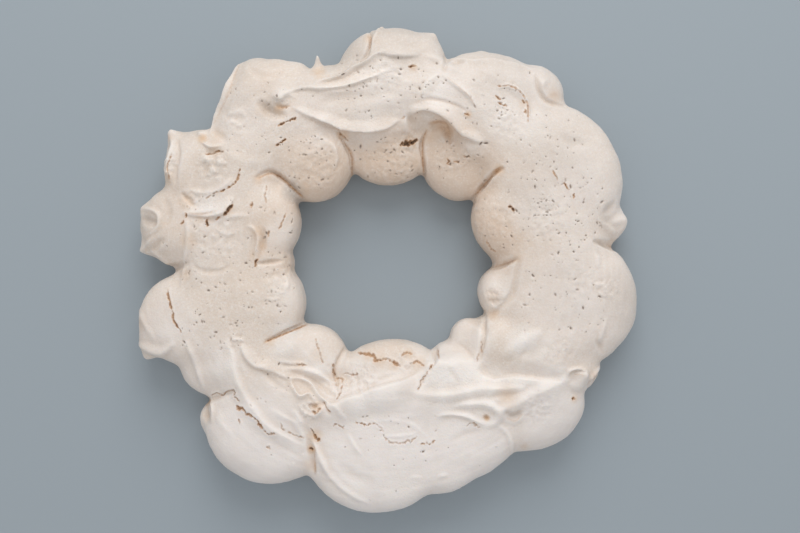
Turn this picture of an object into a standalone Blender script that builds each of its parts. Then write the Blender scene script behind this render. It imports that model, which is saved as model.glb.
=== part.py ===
"""A meringue wreath: spoonfuls of whisked egg white and sugar, dropped in two rows round a ring,
spread together on top with a palette knife, and baked dry as one piece.

Metres, +Z up. The origin is at the middle of the ring, on the surface that it rests on."""

import math
from collections import namedtuple

import bmesh
import bpy
import numpy as np
from mathutils import Matrix

MM = 0.001

# The whole ring, in millimetres.
WAIST = 13.0  # height at which a spoonful is widest
FOOT_TUCK = 2.2  # how many waists deep the hidden lower half of a spoonful reaches
CORE_TOP = 29.0  # height of the hidden middle of the band
CORE_RADII = (97.0, 86.0)
CORE_WIDTH = 17.0
CORE_SPOONFULS = 16
CORE_OVERLAP = 1.4
SPREAD_STEP = 12.0  # from one spoonful of the spread to the next
SPREAD_OVERLAP = 1.5
SPREAD_FLATNESS = 0.75  # 1 is domed, 0 is a plateau
PRESSED_FROM = 36.0  # above this height the knife has pressed the tops down
PRESSED_BY = 0.4
EVENED_FROM = 20.0  # the knife's first passes even out all that is higher than this
EVENED_LAST = 34.0  # and its last passes only what is higher than this
EVENING_PASSES = 45
VOXEL = 1.9  # grain of the mesh that joins the spoonfuls
SOFTENING_PASSES = 3  # how far the joins between spoonfuls melt together
PATH_STEPS = 14  # places between two points of a path
STROKE_TAPER = 0.8  # how slowly a stroke fades towards its ends
PEAK_BLUNTNESS = 0.15
KEPT_FACES = 9400  # triangles that carry the shape
BASE_SNAP = 0.6  # what lies lower than this is part of the flat base
SHARP_ANGLE = 60.0

CREAM = (0.72, 0.645, 0.565, 1.0)
CREAM_ROUGHNESS = 0.62

Spoonful = namedtuple("Spoonful", "x y along across top turn flatness", defaults=[1.0])
Stroke = namedtuple("Stroke", "path rise left right push")
Peak = namedtuple("Peak", "x y z dx dy dz reach")

# The outer row, clockwise from the far side. Sizes in millimetres, turn in degrees.
OUTER_ROW = [
    Spoonful(4, 117, 33.5, 28.5, 40, 0),
    Spoonful(21, 122, 15.5, 21, 36, 0),
    Spoonful(62, 104, 38, 27.5, 39, -12),
    Spoonful(87, 103.5, 20.5, 20, 34, 0),
    Spoonful(99, 56, 47, 42.5, 41, -55),
    Spoonful(131, 29, 13.5, 14.5, 26, 20),
    Spoonful(108, -19, 42, 43.5, 40, 90),
    Spoonful(109, -61, 19.5, 16, 34, 15),
    Spoonful(84, -82, 36, 28, 37, 10),
    Spoonful(44, -95, 40, 32, 39, 22),
    Spoonful(-4, -104, 44, 41, 39, 8),
    Spoonful(30, -106, 30, 29, 34, 15),
    Spoonful(-76, -94, 38.5, 36.5, 39, -12),
    Spoonful(-112, -28, 30, 38, 39, 90),
    Spoonful(-137, -41, 12.5, 13, 28, 0),
    Spoonful(-103, -54, 23, 23.5, 34, 0),
    Spoonful(-117, 26, 32, 27, 38, 0),
    Spoonful(-110, 58, 26.5, 27.5, 39, 90),
    Spoonful(-122, 70, 12, 13, 32, 0),
    Spoonful(-70, 98, 32, 31, 41, 0),
    Spoonful(-80, 108, 18, 20, 36, 0),
    Spoonful(-56, 105, 15.5, 20, 36, 0),
]

# The inner row, clockwise from the far side.
INNER_ROW = [
    Spoonful(1, 69, 24, 18.5, 28, 0),
    Spoonful(43, 65, 22, 23.5, 29, 30),
    Spoonful(79, 29, 26.5, 28, 41, 60),
    Spoonful(71, -14, 17, 16, 32, 90),
    Spoonful(50, -42, 12, 12.5, 23, 0),
    Spoonful(38, -58, 12.5, 14.5, 28, 0),
    Spoonful(68, -45, 21, 19, 38, 0),
    Spoonful(3, -62, 30, 19.5, 32, 0),
    Spoonful(-48, -56, 25, 22.5, 29, 20),
    Spoonful(-76, -19, 27.5, 25.5, 41, -30),
    Spoonful(-77, 28, 25.5, 25.5, 41, 0),
    Spoonful(-45, 66, 24.5, 25.5, 39, 20),
]

# The middle line of the top that the knife has spread, clockwise from the far side: where it
# runs, how far it reaches to either side, and how high it stands.
SPREAD_LINE = [
    (-12, 105, 20, 43),
    (30, 104, 22, 42),
    (64, 88, 27, 42),
    (90, 56, 34, 43),
    (97, 20, 36, 43),
    (101, -18, 36, 42),
    (92, -50, 28, 42),
    (62, -77, 18, 43),
    (22, -81, 15, 43),
    (-18, -82, 15, 43),
    (-52, -82, 19, 42),
    (-80, -62, 26, 41),
    (-92, -28, 32, 41),
    (-95, 6, 32, 41),
    (-97, 38, 32, 42),
    (-83, 72, 29, 42),
    (-50, 94, 25, 42),
]

# The marks of the knife on top: how high the crest stands, how wide it falls away to the left
# and to the right of the path, and how far it hangs over to the right. Millimetres.
STROKES = [
    # Lip of the far spread, standing over the two low inner spoonfuls.
    Stroke([(-56, 95), (-38, 88), (-15, 83), (8, 82), (26, 82)], 4.0, 16, 5, 3.0),
    # Folded tongue at the right end of that lip, and the hollow under it.
    Stroke([(10, 95), (22, 100), (38, 99), (51, 91), (58, 79), (68, 66)], 5.0, 6, 8, 2.5),
    Stroke([(22, 87), (32, 85), (38, 77)], -6.0, 7, 7, 0),
    # Long sheet drawn out from the far tip.
    Stroke([(-3, 146), (-9, 132), (-19, 121), (-38, 112), (-64, 109)], 4.0, 4, 9, 0),
    Stroke([(24, 126), (4, 129), (-14, 123), (-26, 114)], 3.0, 5, 8, 0),
    Stroke([(-10, 142), (-16, 128), (-26, 119), (-40, 115)], -3.0, 5, 4, 0),
    Stroke([(-40, 98), (-10, 101), (12, 112)], -3.0, 12, 12, 0),
    Stroke([(26, 119), (42, 111), (53, 101), (57, 90)], 3.0, 7, 5, 1.0),
    # Crescent left by the end of the knife.
    Stroke([(64, 110), (78, 108), (85, 98), (84, 84)], 2.5, 7, 4, 0.5),
    # Folds of the left far shoulder.
    Stroke([(-88, 126), (-95, 106), (-99, 92), (-107, 80)], 4.0, 5, 8, 0),
    Stroke([(-80, 101), (-68, 98), (-56, 99)], -5.0, 7, 5, 0),
    Stroke([(-131, 86), (-134, 68), (-130, 50)], 3.5, 5, 6, 0),
    Stroke([(-116, 67), (-105, 70), (-94, 71)], -5.0, 5, 5, 0),
    Stroke([(-114, 76), (-103, 76), (-90, 72)], 4.0, 5, 5, 0),
    Stroke([(-126, 31), (-112, 36), (-92, 37)], 4.5, 9, 5, 1.0),
    Stroke([(-74, 30), (-78, 15), (-76, 0)], 2.5, 5, 6, 0),
    Stroke([(-150, -47), (-136, -50), (-124, -44)], 3.0, 5, 6, 0),
    # Long strokes that run down the left near side and across the near side.
    Stroke([(-96, -34), (-91, -60), (-84, -80), (-66, -96), (-44, -108)], 4.0, 6, 12, 0),
    Stroke([(-92, -50), (-64, -61), (-46, -71), (-26, -84)], 4.0, 12, 5, 1.5),
    Stroke([(-66, -55), (-46, -60), (-26, -74)], 3.5, 8, 6, 0),
    Stroke([(-56, -78), (-47, -98), (-40, -113), (-36, -128)], 4.0, 6, 10, 0),
    Stroke([(-50, -90), (-45, -104), (-43, -124)], -5.0, 5, 5, 0),
    Stroke([(118, -64), (96, -70), (78, -78), (44, -76), (0, -78), (-44, -82)], 4.5, 7, 24, 0),
    Stroke([(50, -60), (76, -65), (95, -65), (112, -60)], 3.5, 9, 4, 0),
    Stroke([(30, -88), (48, -85), (62, -84), (69, -90), (60, -95), (46, -91)], 4.5, 6, 6, 0),
    Stroke([(70, -90), (78, -103), (74, -118)], 3.0, 7, 5, 0),
    Stroke([(72, -88), (79, -90), (88, -86)], -6.0, 6, 6, 0),
    Stroke([(64, -56), (82, -44), (100, -34)], 3.0, 12, 8, 0),
]

# Where one spoonful meets the next without being spread over: path, depth and width.
SEAMS = [
    Stroke([(-48, -30), (-60, -37), (-76, -45)], -5.0, 4, 4, 0),
    Stroke([(-60, 6), (-72, 4), (-86, 1)], -4.5, 4, 4, 0),
    Stroke([(-50, 43), (-60, 53), (-72, 58), (-84, 51)], -4.5, 4, 4, 0),
    Stroke([(-19, 56), (-22, 70), (-30, 83)], -4.0, 4, 4, 0),
    Stroke([(23, 56), (21, 70), (24, 82)], -4.0, 4, 4, 0),
    Stroke([(50, 40), (60, 53), (72, 63)], -5.0, 4, 4, 0),
    Stroke([(60, 2), (72, 3), (84, 9)], -4.5, 4, 4, 0),
    Stroke([(60, -26), (58, -42), (54, -60)], -3.0, 4, 4, 0),
    Stroke([(30, -44), (27, -58), (22, -70)], -3.0, 4, 4, 0),
    Stroke([(-24, -44), (-29, -58), (-34, -72)], -3.0, 4, 4, 0),
    Stroke([(138, 11), (127, 16), (112, 20)], -5.0, 5, 5, 0),
    Stroke([(38, 134), (36, 122), (30, 110)], -3.5, 4, 4, 0),
    Stroke([(-136, 0), (-124, 2), (-108, 5)], -4.0, 5, 5, 0),
    Stroke([(-108, -80), (-98, -75), (-86, -72)], -2.5, 4, 4, 0),
]

# The places where the mix was drawn out to a point as the spoon left it.
PEAKS = [
    Peak(-3, 142, 20, 0, 4, 4, 8),
    Peak(27, 138, 20, 2, 3, 1, 8),
    Peak(-41, 118, 24, 0, 10, 5, 8),
    Peak(-127, 79, 24, -4, 5, 4, 8),
    Peak(-109, 80, 28, -5, 2, 4, 7),
    Peak(-145, 35, 20, -4, 2, 1, 8),
    Peak(-144, 13, 18, -4, -2, 1, 8),
    Peak(-143, -49, 18, -2, -6, 1, 7),
    Peak(-66, 104, 40, -3, 1, 6, 10),
    Peak(114, -64, 30, 5, 2, 4, 9),
    Peak(141, 27, 18, 3, 1, 1, 8),
    Peak(38, -131, 16, 1, -4, 0, 7),
]


def clear_scene():
    for obj in list(bpy.data.objects):
        bpy.data.objects.remove(obj, do_unlink=True)


def curve_through(points):
    """Evenly close places along a smooth curve through the points of a path."""
    ends = [2 * np.array(points[0]) - np.array(points[1])]
    ends += [np.array(point, dtype=float) for point in points]
    ends.append(2 * ends[-1] - ends[-2])
    places = []
    for a, b, c, d in zip(ends, ends[1:], ends[2:], ends[3:]):
        for t in np.linspace(0, 1, PATH_STEPS, endpoint=False):
            places.append(0.5 * (2 * b + (c - a) * t + (2 * a - 5 * b + 4 * c - d) * t ** 2
                                 + (3 * b - a - 3 * c + d) * t ** 3))
    places.append(ends[-2])
    return np.array(places)


def core_of_the_band():
    """Low spoonfuls all round the middle of the band, hidden under the others."""
    core = []
    for step in range(CORE_SPOONFULS):
        angle = 2 * math.pi * step / CORE_SPOONFULS
        x = CORE_RADII[0] * math.cos(angle)
        y = CORE_RADII[1] * math.sin(angle)
        along = CORE_OVERLAP * math.pi * CORE_RADII[0] / CORE_SPOONFULS
        core.append(Spoonful(x, y, along, CORE_WIDTH, CORE_TOP, math.degrees(angle) + 90))
    return core


def spread_of_the_knife():
    """Flat-topped spoonfuls, one close behind the other along the closed middle line."""
    line = np.array(SPREAD_LINE, dtype=float)
    closed = curve_through(np.vstack([line[-1:], line, line[:2]]))
    spread = []
    walked = SPREAD_STEP
    for here, after in zip(closed, closed[1:]):
        if walked >= SPREAD_STEP:
            walked = 0
            x, y, across, top = here
            turn = math.degrees(math.atan2(after[1] - y, after[0] - x))
            along = SPREAD_OVERLAP * SPREAD_STEP
            spread.append(Spoonful(x, y, along, across, top, turn, SPREAD_FLATNESS))
        walked += np.hypot(*(after - here)[:2])
    return spread


def add_spoonful(bm, spoonful):
    """An egg shape: domed above its waist, nearly straight down to its foot."""
    made = bmesh.ops.create_icosphere(bm, subdivisions=4, radius=1)
    rise = (spoonful.top - WAIST) * MM
    drop = FOOT_TUCK * WAIST * MM
    for vertex in made["verts"]:
        if vertex.co.z > 0:
            vertex.co.z = rise * vertex.co.z ** spoonful.flatness
        else:
            vertex.co.z *= drop
        vertex.co.x *= spoonful.along * MM
        vertex.co.y *= spoonful.across * MM
    place = Matrix.Translation((spoonful.x * MM, spoonful.y * MM, WAIST * MM))
    turn = Matrix.Rotation(math.radians(spoonful.turn), 4, "Z")
    bmesh.ops.transform(bm, matrix=place @ turn, verts=made["verts"])


def work_out_modifiers(ring):
    """Gives the ring the mesh that its modifiers make of it, and drops them."""
    graph = bpy.context.evaluated_depsgraph_get()
    mesh = bpy.data.meshes.new_from_object(ring.evaluated_get(graph))
    ring.modifiers.clear()
    ring.data = mesh


def drop_spoonfuls():
    bm = bmesh.new()
    for spoonful in OUTER_ROW + INNER_ROW + spread_of_the_knife() + core_of_the_band():
        add_spoonful(bm, spoonful)
    mesh = bpy.data.meshes.new("meringue_ring")
    bm.to_mesh(mesh)
    bm.free()
    ring = bpy.data.objects.new("meringue_ring", mesh)
    bpy.context.scene.collection.objects.link(ring)
    remesh = ring.modifiers.new("join", "REMESH")
    remesh.mode = "VOXEL"
    remesh.voxel_size = VOXEL * MM
    soften = ring.modifiers.new("soften", "SMOOTH")
    soften.factor = 0.5
    soften.iterations = SOFTENING_PASSES
    work_out_modifiers(ring)
    return ring


def spread_top(ring):
    """Presses the tops down and evens them out, the more the higher they stand."""
    bm = bmesh.new()
    bm.from_mesh(ring.data)
    for vertex in bm.verts:
        above = vertex.co.z - PRESSED_FROM * MM
        if above > 0:
            vertex.co.z -= PRESSED_BY * above
    for floor in np.linspace(EVENED_FROM, EVENED_LAST, EVENING_PASSES) * MM:
        high = [vertex for vertex in bm.verts if vertex.co.z > floor and vertex.normal.z > 0.2]
        bmesh.ops.smooth_vert(bm, verts=high, factor=0.5, use_axis_x=True, use_axis_y=True,
                              use_axis_z=True)
        bm.normal_update()
    bm.to_mesh(ring.data)
    bm.free()


def places_and_normals(mesh):
    """Where the vertices are, in millimetres, and which way the surface faces there."""
    places = np.empty(len(mesh.vertices) * 3)
    mesh.vertices.foreach_get("co", places)
    normals = np.empty(len(mesh.vertices) * 3)
    mesh.vertices.foreach_get("normal", normals)
    return places.reshape(-1, 3) / MM, normals.reshape(-1, 3)


def draw_stroke(stroke, places, normals):
    """Raises or sinks the surface along a path, and pushes the crest over to the right."""
    path = curve_through(stroke.path)
    along = np.gradient(path, axis=0)
    along /= np.linalg.norm(along, axis=1)[:, None]
    reach = max(stroke.left, stroke.right)
    flat = places[:, :2]
    in_box = np.all((flat > path.min(axis=0) - reach) & (flat < path.max(axis=0) + reach), axis=1)
    near = np.where(in_box & (normals[:, 2] > -0.1))[0]
    away = flat[near, None, :] - path[None, :, :]
    closest = np.argmin((away ** 2).sum(axis=2), axis=1)
    away = away[np.arange(len(near)), closest]
    heading = along[closest]
    to_the_right = heading[:, 1] * away[:, 0] > heading[:, 0] * away[:, 1]
    taper = np.sin(np.pi * closest / (len(path) - 1)) ** STROKE_TAPER
    width = np.where(to_the_right, stroke.right, stroke.left) * (0.5 + 0.5 * taper)
    distance = np.minimum(np.hypot(away[:, 0], away[:, 1]) / width, 1)
    facing_up = np.clip(normals[near, 2] * 2.5 + 0.3, 0, 1)
    amount = (0.5 + 0.5 * np.cos(np.pi * distance)) * taper * facing_up
    places[near] += (stroke.rise * amount)[:, None] * normals[near]
    places[near, 0] += stroke.push * amount * heading[:, 1]
    places[near, 1] -= stroke.push * amount * heading[:, 0]


def draw_out_peak(peak, places):
    """Pulls the surface out to a point, like the last of the mix leaving a spoon."""
    distance = np.linalg.norm(places - np.array((peak.x, peak.y, peak.z)), axis=1)
    amount = np.clip(1 + PEAK_BLUNTNESS - distance / peak.reach, 0, 1) ** 2
    places += amount[:, None] * np.array((peak.dx, peak.dy, peak.dz))


def work_surface(ring):
    places, normals = places_and_normals(ring.data)
    for stroke in STROKES + SEAMS:
        draw_stroke(stroke, places, normals)
    for peak in PEAKS:
        draw_out_peak(peak, places)
    ring.data.vertices.foreach_set("co", (places * MM).ravel())
    ring.data.update()


def cut_base(ring):
    """Cuts the ring off flat where it rests, and closes the cut with a ring-shaped face."""
    bm = bmesh.new()
    bm.from_mesh(ring.data)
    everything = bm.verts[:] + bm.edges[:] + bm.faces[:]
    cut = bmesh.ops.bisect_plane(bm, geom=everything, plane_co=(0, 0, 0), plane_no=(0, 0, 1),
                                 clear_inner=True)
    rim = [part for part in cut["geom_cut"] if isinstance(part, bmesh.types.BMEdge)]
    bmesh.ops.triangle_fill(bm, edges=rim, use_beauty=True)
    bmesh.ops.recalc_face_normals(bm, faces=bm.faces)
    bmesh.ops.triangulate(bm, faces=bm.faces)
    bm.to_mesh(ring.data)
    bm.free()


def thin_out(ring):
    """Keeps the faces that carry the shape, then lays the base flat again."""
    thin = ring.modifiers.new("thin", "DECIMATE")
    thin.ratio = KEPT_FACES / len(ring.data.polygons)
    work_out_modifiers(ring)
    for vertex in ring.data.vertices:
        if vertex.co.z < BASE_SNAP * MM:
            vertex.co.z = 0


def bake_colour(ring):
    cream = bpy.data.materials.new("meringue")
    cream.use_nodes = True
    shader = cream.node_tree.nodes["Principled BSDF"]
    shader.inputs["Base Color"].default_value = CREAM
    shader.inputs["Roughness"].default_value = CREAM_ROUGHNESS
    shader.inputs["Metallic"].default_value = 0
    ring.data.materials.clear()
    ring.data.materials.append(cream)
    ring.data.shade_smooth()
    ring.data.set_sharp_from_angle(angle=math.radians(SHARP_ANGLE))


clear_scene()
ring = drop_spoonfuls()
spread_top(ring)
work_surface(ring)
cut_base(ring)
thin_out(ring)
bake_colour(ring)
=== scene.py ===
import math
from collections import namedtuple

import bpy
import numpy as np
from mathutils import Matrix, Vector, noise


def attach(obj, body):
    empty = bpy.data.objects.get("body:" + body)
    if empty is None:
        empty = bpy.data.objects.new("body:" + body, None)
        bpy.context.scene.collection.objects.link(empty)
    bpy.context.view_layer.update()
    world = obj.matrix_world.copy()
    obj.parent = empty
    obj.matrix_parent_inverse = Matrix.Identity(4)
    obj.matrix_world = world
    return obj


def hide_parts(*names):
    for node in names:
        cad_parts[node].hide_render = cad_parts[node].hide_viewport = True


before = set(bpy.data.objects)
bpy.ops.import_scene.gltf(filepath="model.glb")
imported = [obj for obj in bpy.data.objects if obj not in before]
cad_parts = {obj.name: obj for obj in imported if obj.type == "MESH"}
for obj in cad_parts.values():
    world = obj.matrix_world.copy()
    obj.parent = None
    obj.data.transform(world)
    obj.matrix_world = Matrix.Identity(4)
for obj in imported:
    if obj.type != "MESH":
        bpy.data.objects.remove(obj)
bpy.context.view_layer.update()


# ---- The table, the daylight and the camera ----------------------------------------------------
# The wreath lies on a pale blue-grey table and is looked at from straight above. Soft daylight
# comes in from a large window on its far side, and the pale room fills the shadows.

TABLE_SIZE = 4.0
TABLE_COLOUR = (0.33, 0.385, 0.43, 1)
TABLE_ROUGHNESS = 0.75
CAMERA_PLACE = (0.008, 0.0015, 0.689)
LENS = 50
WINDOW_PLACE = (0.1, 1.1, 0.85)
WINDOW_SIZE = 1.0
WINDOW_WATTS = 10
WINDOW_COLOUR = (1.0, 0.985, 0.96)
ROOM_COLOUR = (1.0, 0.985, 0.975, 1)
ROOM_STRENGTH = 0.665

scene = bpy.context.scene
scene.view_settings.view_transform = "Standard"

bpy.ops.mesh.primitive_plane_add(size=TABLE_SIZE)
table = bpy.context.object
table.name = "table"
table_paint = bpy.data.materials.new("table_paint")
table_paint.use_nodes = True
table_shader = table_paint.node_tree.nodes["Principled BSDF"]
table_shader.inputs["Base Color"].default_value = TABLE_COLOUR
table_shader.inputs["Roughness"].default_value = TABLE_ROUGHNESS
table.data.materials.append(table_paint)

bpy.ops.object.light_add(type="AREA", location=WINDOW_PLACE)
window = bpy.context.object
window.data.shape = "SQUARE"
window.data.size = WINDOW_SIZE
window.data.energy = WINDOW_WATTS
window.data.color = WINDOW_COLOUR
window.rotation_euler = (-Vector(WINDOW_PLACE)).to_track_quat("-Z", "Y").to_euler()

room = bpy.data.worlds.new("room")
room.use_nodes = True
room.node_tree.nodes["Background"].inputs["Color"].default_value = ROOM_COLOUR
room.node_tree.nodes["Background"].inputs["Strength"].default_value = ROOM_STRENGTH
scene.world = room

bpy.ops.object.camera_add(location=CAMERA_PLACE, rotation=(0, 0, 0))
scene.camera = bpy.context.object
scene.camera.data.lens = LENS


# ---- The spoonfuls -----------------------------------------------------------------------------
# Whisked egg white and sugar, dropped from a spoon in two rows round a ring. Each spoonful lands
# as a soft dome, widest a little above the paper, and where two touch they run together.
# All sizes of the wreath are in millimetres, and turns in degrees.

MM = 0.001
WAIST = 13.0  # height at which a spoonful is widest
FOOT_TUCK = 2.2  # how many waists deep the hidden lower half of a spoonful reaches
MIXING_GRAIN = 1.9  # grain at which the spoonfuls run together
MIXING_PASSES = 3
SMOOTHING = 0.5  # how far one pass evens a place out
DOMED = 0.68  # how domed a spoonful is: 1 is half a ball, 0 is a plateau
Spoonful = namedtuple("Spoonful", "x y along across top turn flatness", defaults=[DOMED])

# Rows of spoonfuls: the place, the reach along and across, the height of the top, the turn, and
# how domed it is where that differs.

OUTER_ROW = [
    (4, 117, 33.5, 28.5, 40, 0),
    (21, 122, 15.5, 21, 36, 0),
    (62, 103.5, 38, 27, 39, -12),
    (87, 103.5, 20.5, 20, 34, 0),
    (99, 56, 46.5, 41.8, 41, -55),
    (131, 29, 13.5, 14.5, 26, 20),
    (108, -19, 42, 43.5, 40, 90),
    (109, -61, 19.5, 16, 34, 15),
    (84, -82, 36, 28, 37, 10, 0.6),
    (44, -95, 40, 32, 40.5, 22, 0.5),
    (-5, -105, 45.5, 41, 41, 8, 0.38),
    (30, -106, 30, 29, 39, 15, 0.36),
    (-70, -94, 39.5, 35.5, 40.5, -8, 0.55),
    (-104, -90, 9, 11, 24, 0),
    (-112, -30, 30, 37.5, 39, 90, 0.5),
    (-137, -41, 12.5, 13, 31, 0, 0.5),
    (-103, -54, 23, 23.5, 34, 0),
    (-117, 26, 32, 27, 38, 0),
    (-110, 58, 26.5, 24.3, 39, 90),
    (-120.5, 70, 12, 13, 32, 0),
    (-69, 95.5, 30.5, 31, 41, 0),
    (-77.5, 107, 16.5, 20.5, 36, 0),
    (-56, 105, 15.5, 20, 36, 0),
]
INNER_ROW = [
    (1, 69, 24, 18.5, 30.5, 0, 0.4),
    (43, 65, 22, 23.5, 30, 30, 0.45),
    (79, 29, 26.5, 28, 41, 60, 0.55),
    (71, -14, 17, 16, 34, 90, 0.42),
    (50, -42, 12, 12.5, 26, 0, 0.5),
    (38, -58, 12.5, 14.5, 28, 0),
    (68, -45, 21, 19, 38, 0),
    (3, -62, 30, 19.5, 33, 0, 0.55),
    (-48, -56, 25, 22.5, 33, 20, 0.5),
    (-76, -19, 27.5, 25.5, 41.5, -30, 0.37),
    (-77, 28, 25.5, 25.5, 42, 0, 0.36),
    (-45, 66, 24.5, 25.5, 39, 20, 0.38),
    (-74, 4, 18, 12, 39.5, 0, 0.5),
    (-9, 86, 27, 9, 38.5, 0, 0.3),
    (-5, 77, 21, 8.5, 33.5, 0, 0.5),
    (52, 74, 12, 9, 38, -40, 0.5),
    (38, -61.5, 20, 11.5, 38.5, 5, 0.25),
    (-61, -47, 12, 9.5, 38, 20, 0.5),
]

# Low spoonfuls all round the middle of the band, hidden under the others.
CORE_TOP = 29.0
CORE_RADII = (97.0, 86.0)
CORE_WIDTH = 17.0
CORE_SPOONFULS = 16
CORE_OVERLAP = 1.4
core_row = []
for step in range(CORE_SPOONFULS):
    angle = 2 * math.pi * step / CORE_SPOONFULS
    x = CORE_RADII[0] * math.cos(angle)
    y = CORE_RADII[1] * math.sin(angle)
    along = CORE_OVERLAP * math.pi * CORE_RADII[0] / CORE_SPOONFULS
    core_row.append(Spoonful(x, y, along, CORE_WIDTH, CORE_TOP, math.degrees(angle) + 90))

# The middle line of the top that the knife has spread: where it runs, how far the spread reaches
# to either side, and how high it stands.
SPREAD_LINE = [
    (-12, 105, 20, 43),
    (30, 104, 22, 42),
    (64, 88, 27, 42),
    (90, 56, 34, 43),
    (97, 20, 36, 43),
    (101, -18, 36, 42),
    (92, -50, 28, 42),
    (62, -77, 18, 43),
    (24, -80, 15, 42.5),
    (4, -76, 17, 42.5),
    (-18, -80, 15, 42.5),
    (-52, -82, 19, 42),
    (-80, -62, 26, 41),
    (-92, -28, 32, 41),
    (-95, 6, 32, 41),
    (-97, 38, 32, 42),
    (-83, 72, 29, 42),
    (-50, 94, 25, 42),
]
SPREAD_STEP = 12.0  # from one spoonful of the spread to the next
SPREAD_OVERLAP = 1.5
SPREAD_FLATNESS = 0.75


def curve_through(points, steps=14):
    """Evenly close places along a smooth curve through the points of a path."""
    ends = [2 * np.array(points[0]) - np.array(points[1])]
    ends += [np.array(point, dtype=float) for point in points]
    ends.append(2 * ends[-1] - ends[-2])
    places = []
    for a, b, c, d in zip(ends, ends[1:], ends[2:], ends[3:]):
        for t in np.linspace(0, 1, steps, endpoint=False):
            places.append(0.5 * (2 * b + (c - a) * t + (2 * a - 5 * b + 4 * c - d) * t ** 2
                                 + (3 * b - a - 3 * c + d) * t ** 3))
    places.append(ends[-2])
    return np.array(places)


line = np.array(SPREAD_LINE, dtype=float)
closed_line = curve_through(np.vstack([line[-1:], line, line[:2]]))
spread_row = []
walked = SPREAD_STEP
for here, after in zip(closed_line, closed_line[1:]):
    if walked >= SPREAD_STEP:
        walked = 0
        x, y, across, top = here
        turn = math.degrees(math.atan2(after[1] - y, after[0] - x))
        along = SPREAD_OVERLAP * SPREAD_STEP
        spread_row.append(Spoonful(x, y, along, across, top, turn, SPREAD_FLATNESS))
    walked += np.hypot(*(after - here)[:2])


def read(piece, what):
    """A row of three numbers for each vertex."""
    values = np.empty(len(piece.data.vertices) * 3)
    piece.data.vertices.foreach_get(what, values)
    return values.reshape(-1, 3)


def drop_spoonful(spoonful):
    """An egg shape: domed above its waist, nearly straight down to its foot."""
    bpy.ops.mesh.primitive_ico_sphere_add(
        subdivisions=4,
        radius=1,
        location=(spoonful.x * MM, spoonful.y * MM, WAIST * MM),
        rotation=(0, 0, math.radians(spoonful.turn)),
    )
    lump = bpy.context.object
    size = read(lump, "co")
    above = np.maximum(size[:, 2], 0) ** spoonful.flatness * (spoonful.top - WAIST)
    below = np.minimum(size[:, 2], 0) * FOOT_TUCK * WAIST
    size *= (spoonful.along, spoonful.across, 0)
    size[:, 2] = above + below
    lump.data.vertices.foreach_set("co", (size * MM).ravel())
    return lump


def finish_with(piece, kind, **settings):
    """Adds a modifier and applies it."""
    modifier = piece.modifiers.new(kind.lower(), kind)
    for setting, value in settings.items():
        setattr(modifier, setting, value)
    bpy.context.view_layer.objects.active = piece
    bpy.ops.object.modifier_apply(modifier=modifier.name)


bpy.ops.object.select_all(action="DESELECT")
rows = [Spoonful(*row) for row in OUTER_ROW + INNER_ROW]
lumps = [drop_spoonful(spoonful) for spoonful in rows + spread_row + core_row]
for lump in lumps:
    lump.select_set(True)
wreath = lumps[0]
bpy.context.view_layer.objects.active = wreath
bpy.ops.object.join()
bpy.ops.object.transform_apply(location=True, rotation=True, scale=True)
wreath.name = "meringue_wreath"
finish_with(wreath, "REMESH", mode="VOXEL", voxel_size=MIXING_GRAIN * MM)
finish_with(wreath, "SMOOTH", factor=SMOOTHING, iterations=MIXING_PASSES)


# ---- The spread top ----------------------------------------------------------------------------
# While it is still soft, the tops are pressed down and evened out with a palette knife, so that
# the spoonfuls run into one band on top and stay apart only at its edges.

PRESSED_FROM = 36.0  # above this height the knife has pressed the tops down
PRESSED_BY = 0.4
EVENED_FROM = 20.0  # the knife reaches lightly down to this height
EVENED_FULLY = 32.0  # and evens out all that is higher than this
EVENED_FACING = 0.1  # the knife evens only what faces further up than this
EVENING_PASSES = 45


def places_of(piece):
    """Where the vertices are, in millimetres."""
    return read(piece, "co") / MM


def normals_of(piece):
    return read(piece, "normal")


def move_to(piece, places):
    piece.data.vertices.foreach_set("co", (places * MM).ravel())
    piece.data.update()


places = places_of(wreath)
places[:, 2] -= PRESSED_BY * np.maximum(places[:, 2] - PRESSED_FROM, 0)
move_to(wreath, places)
evened = np.clip((places[:, 2] - EVENED_FROM) / (EVENED_FULLY - EVENED_FROM), 0, 1)
evened *= normals_of(wreath)[:, 2] > EVENED_FACING
top = wreath.vertex_groups.new(name="top")
for index in np.where(evened > 0)[0]:
    top.add([int(index)], evened[index], "REPLACE")
finish_with(wreath, "SMOOTH", factor=SMOOTHING, iterations=EVENING_PASSES, vertex_group="top")
wreath.vertex_groups.clear()
finish_with(wreath, "SUBSURF", levels=1, render_levels=1)


# ---- The marks of the knife and the spoon ------------------------------------------------------
# The knife leaves crests where it turns and lifts, folds the soft mix over itself, and drags
# sheets and lips of it over the lower spoonfuls. Between two spoonfuls that were not spread over,
# a crease stays.

CREASE_FLOOR = -0.1  # the knife touches only what faces further up than this
CREASE_FADE = 2.5  # how quickly a mark grows in above that
STROKE_STEPS = 8  # places along a stroke from one point of its path to the next
STROKE_TAPER = 0.7  # how slowly a stroke fades towards its ends
UNSTEADY = 0.3  # how much the height of a crest varies along it
UNSTEADY_LENGTH = 9.0
UNSTEADY_SHIFT = 7.3  # makes every stroke vary in its own way
NARROWED = 0.5  # how far a stroke narrows towards its ends
Stroke = namedtuple("Stroke", "path rise left right push keen", defaults=[0.0, 0.0])

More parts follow.
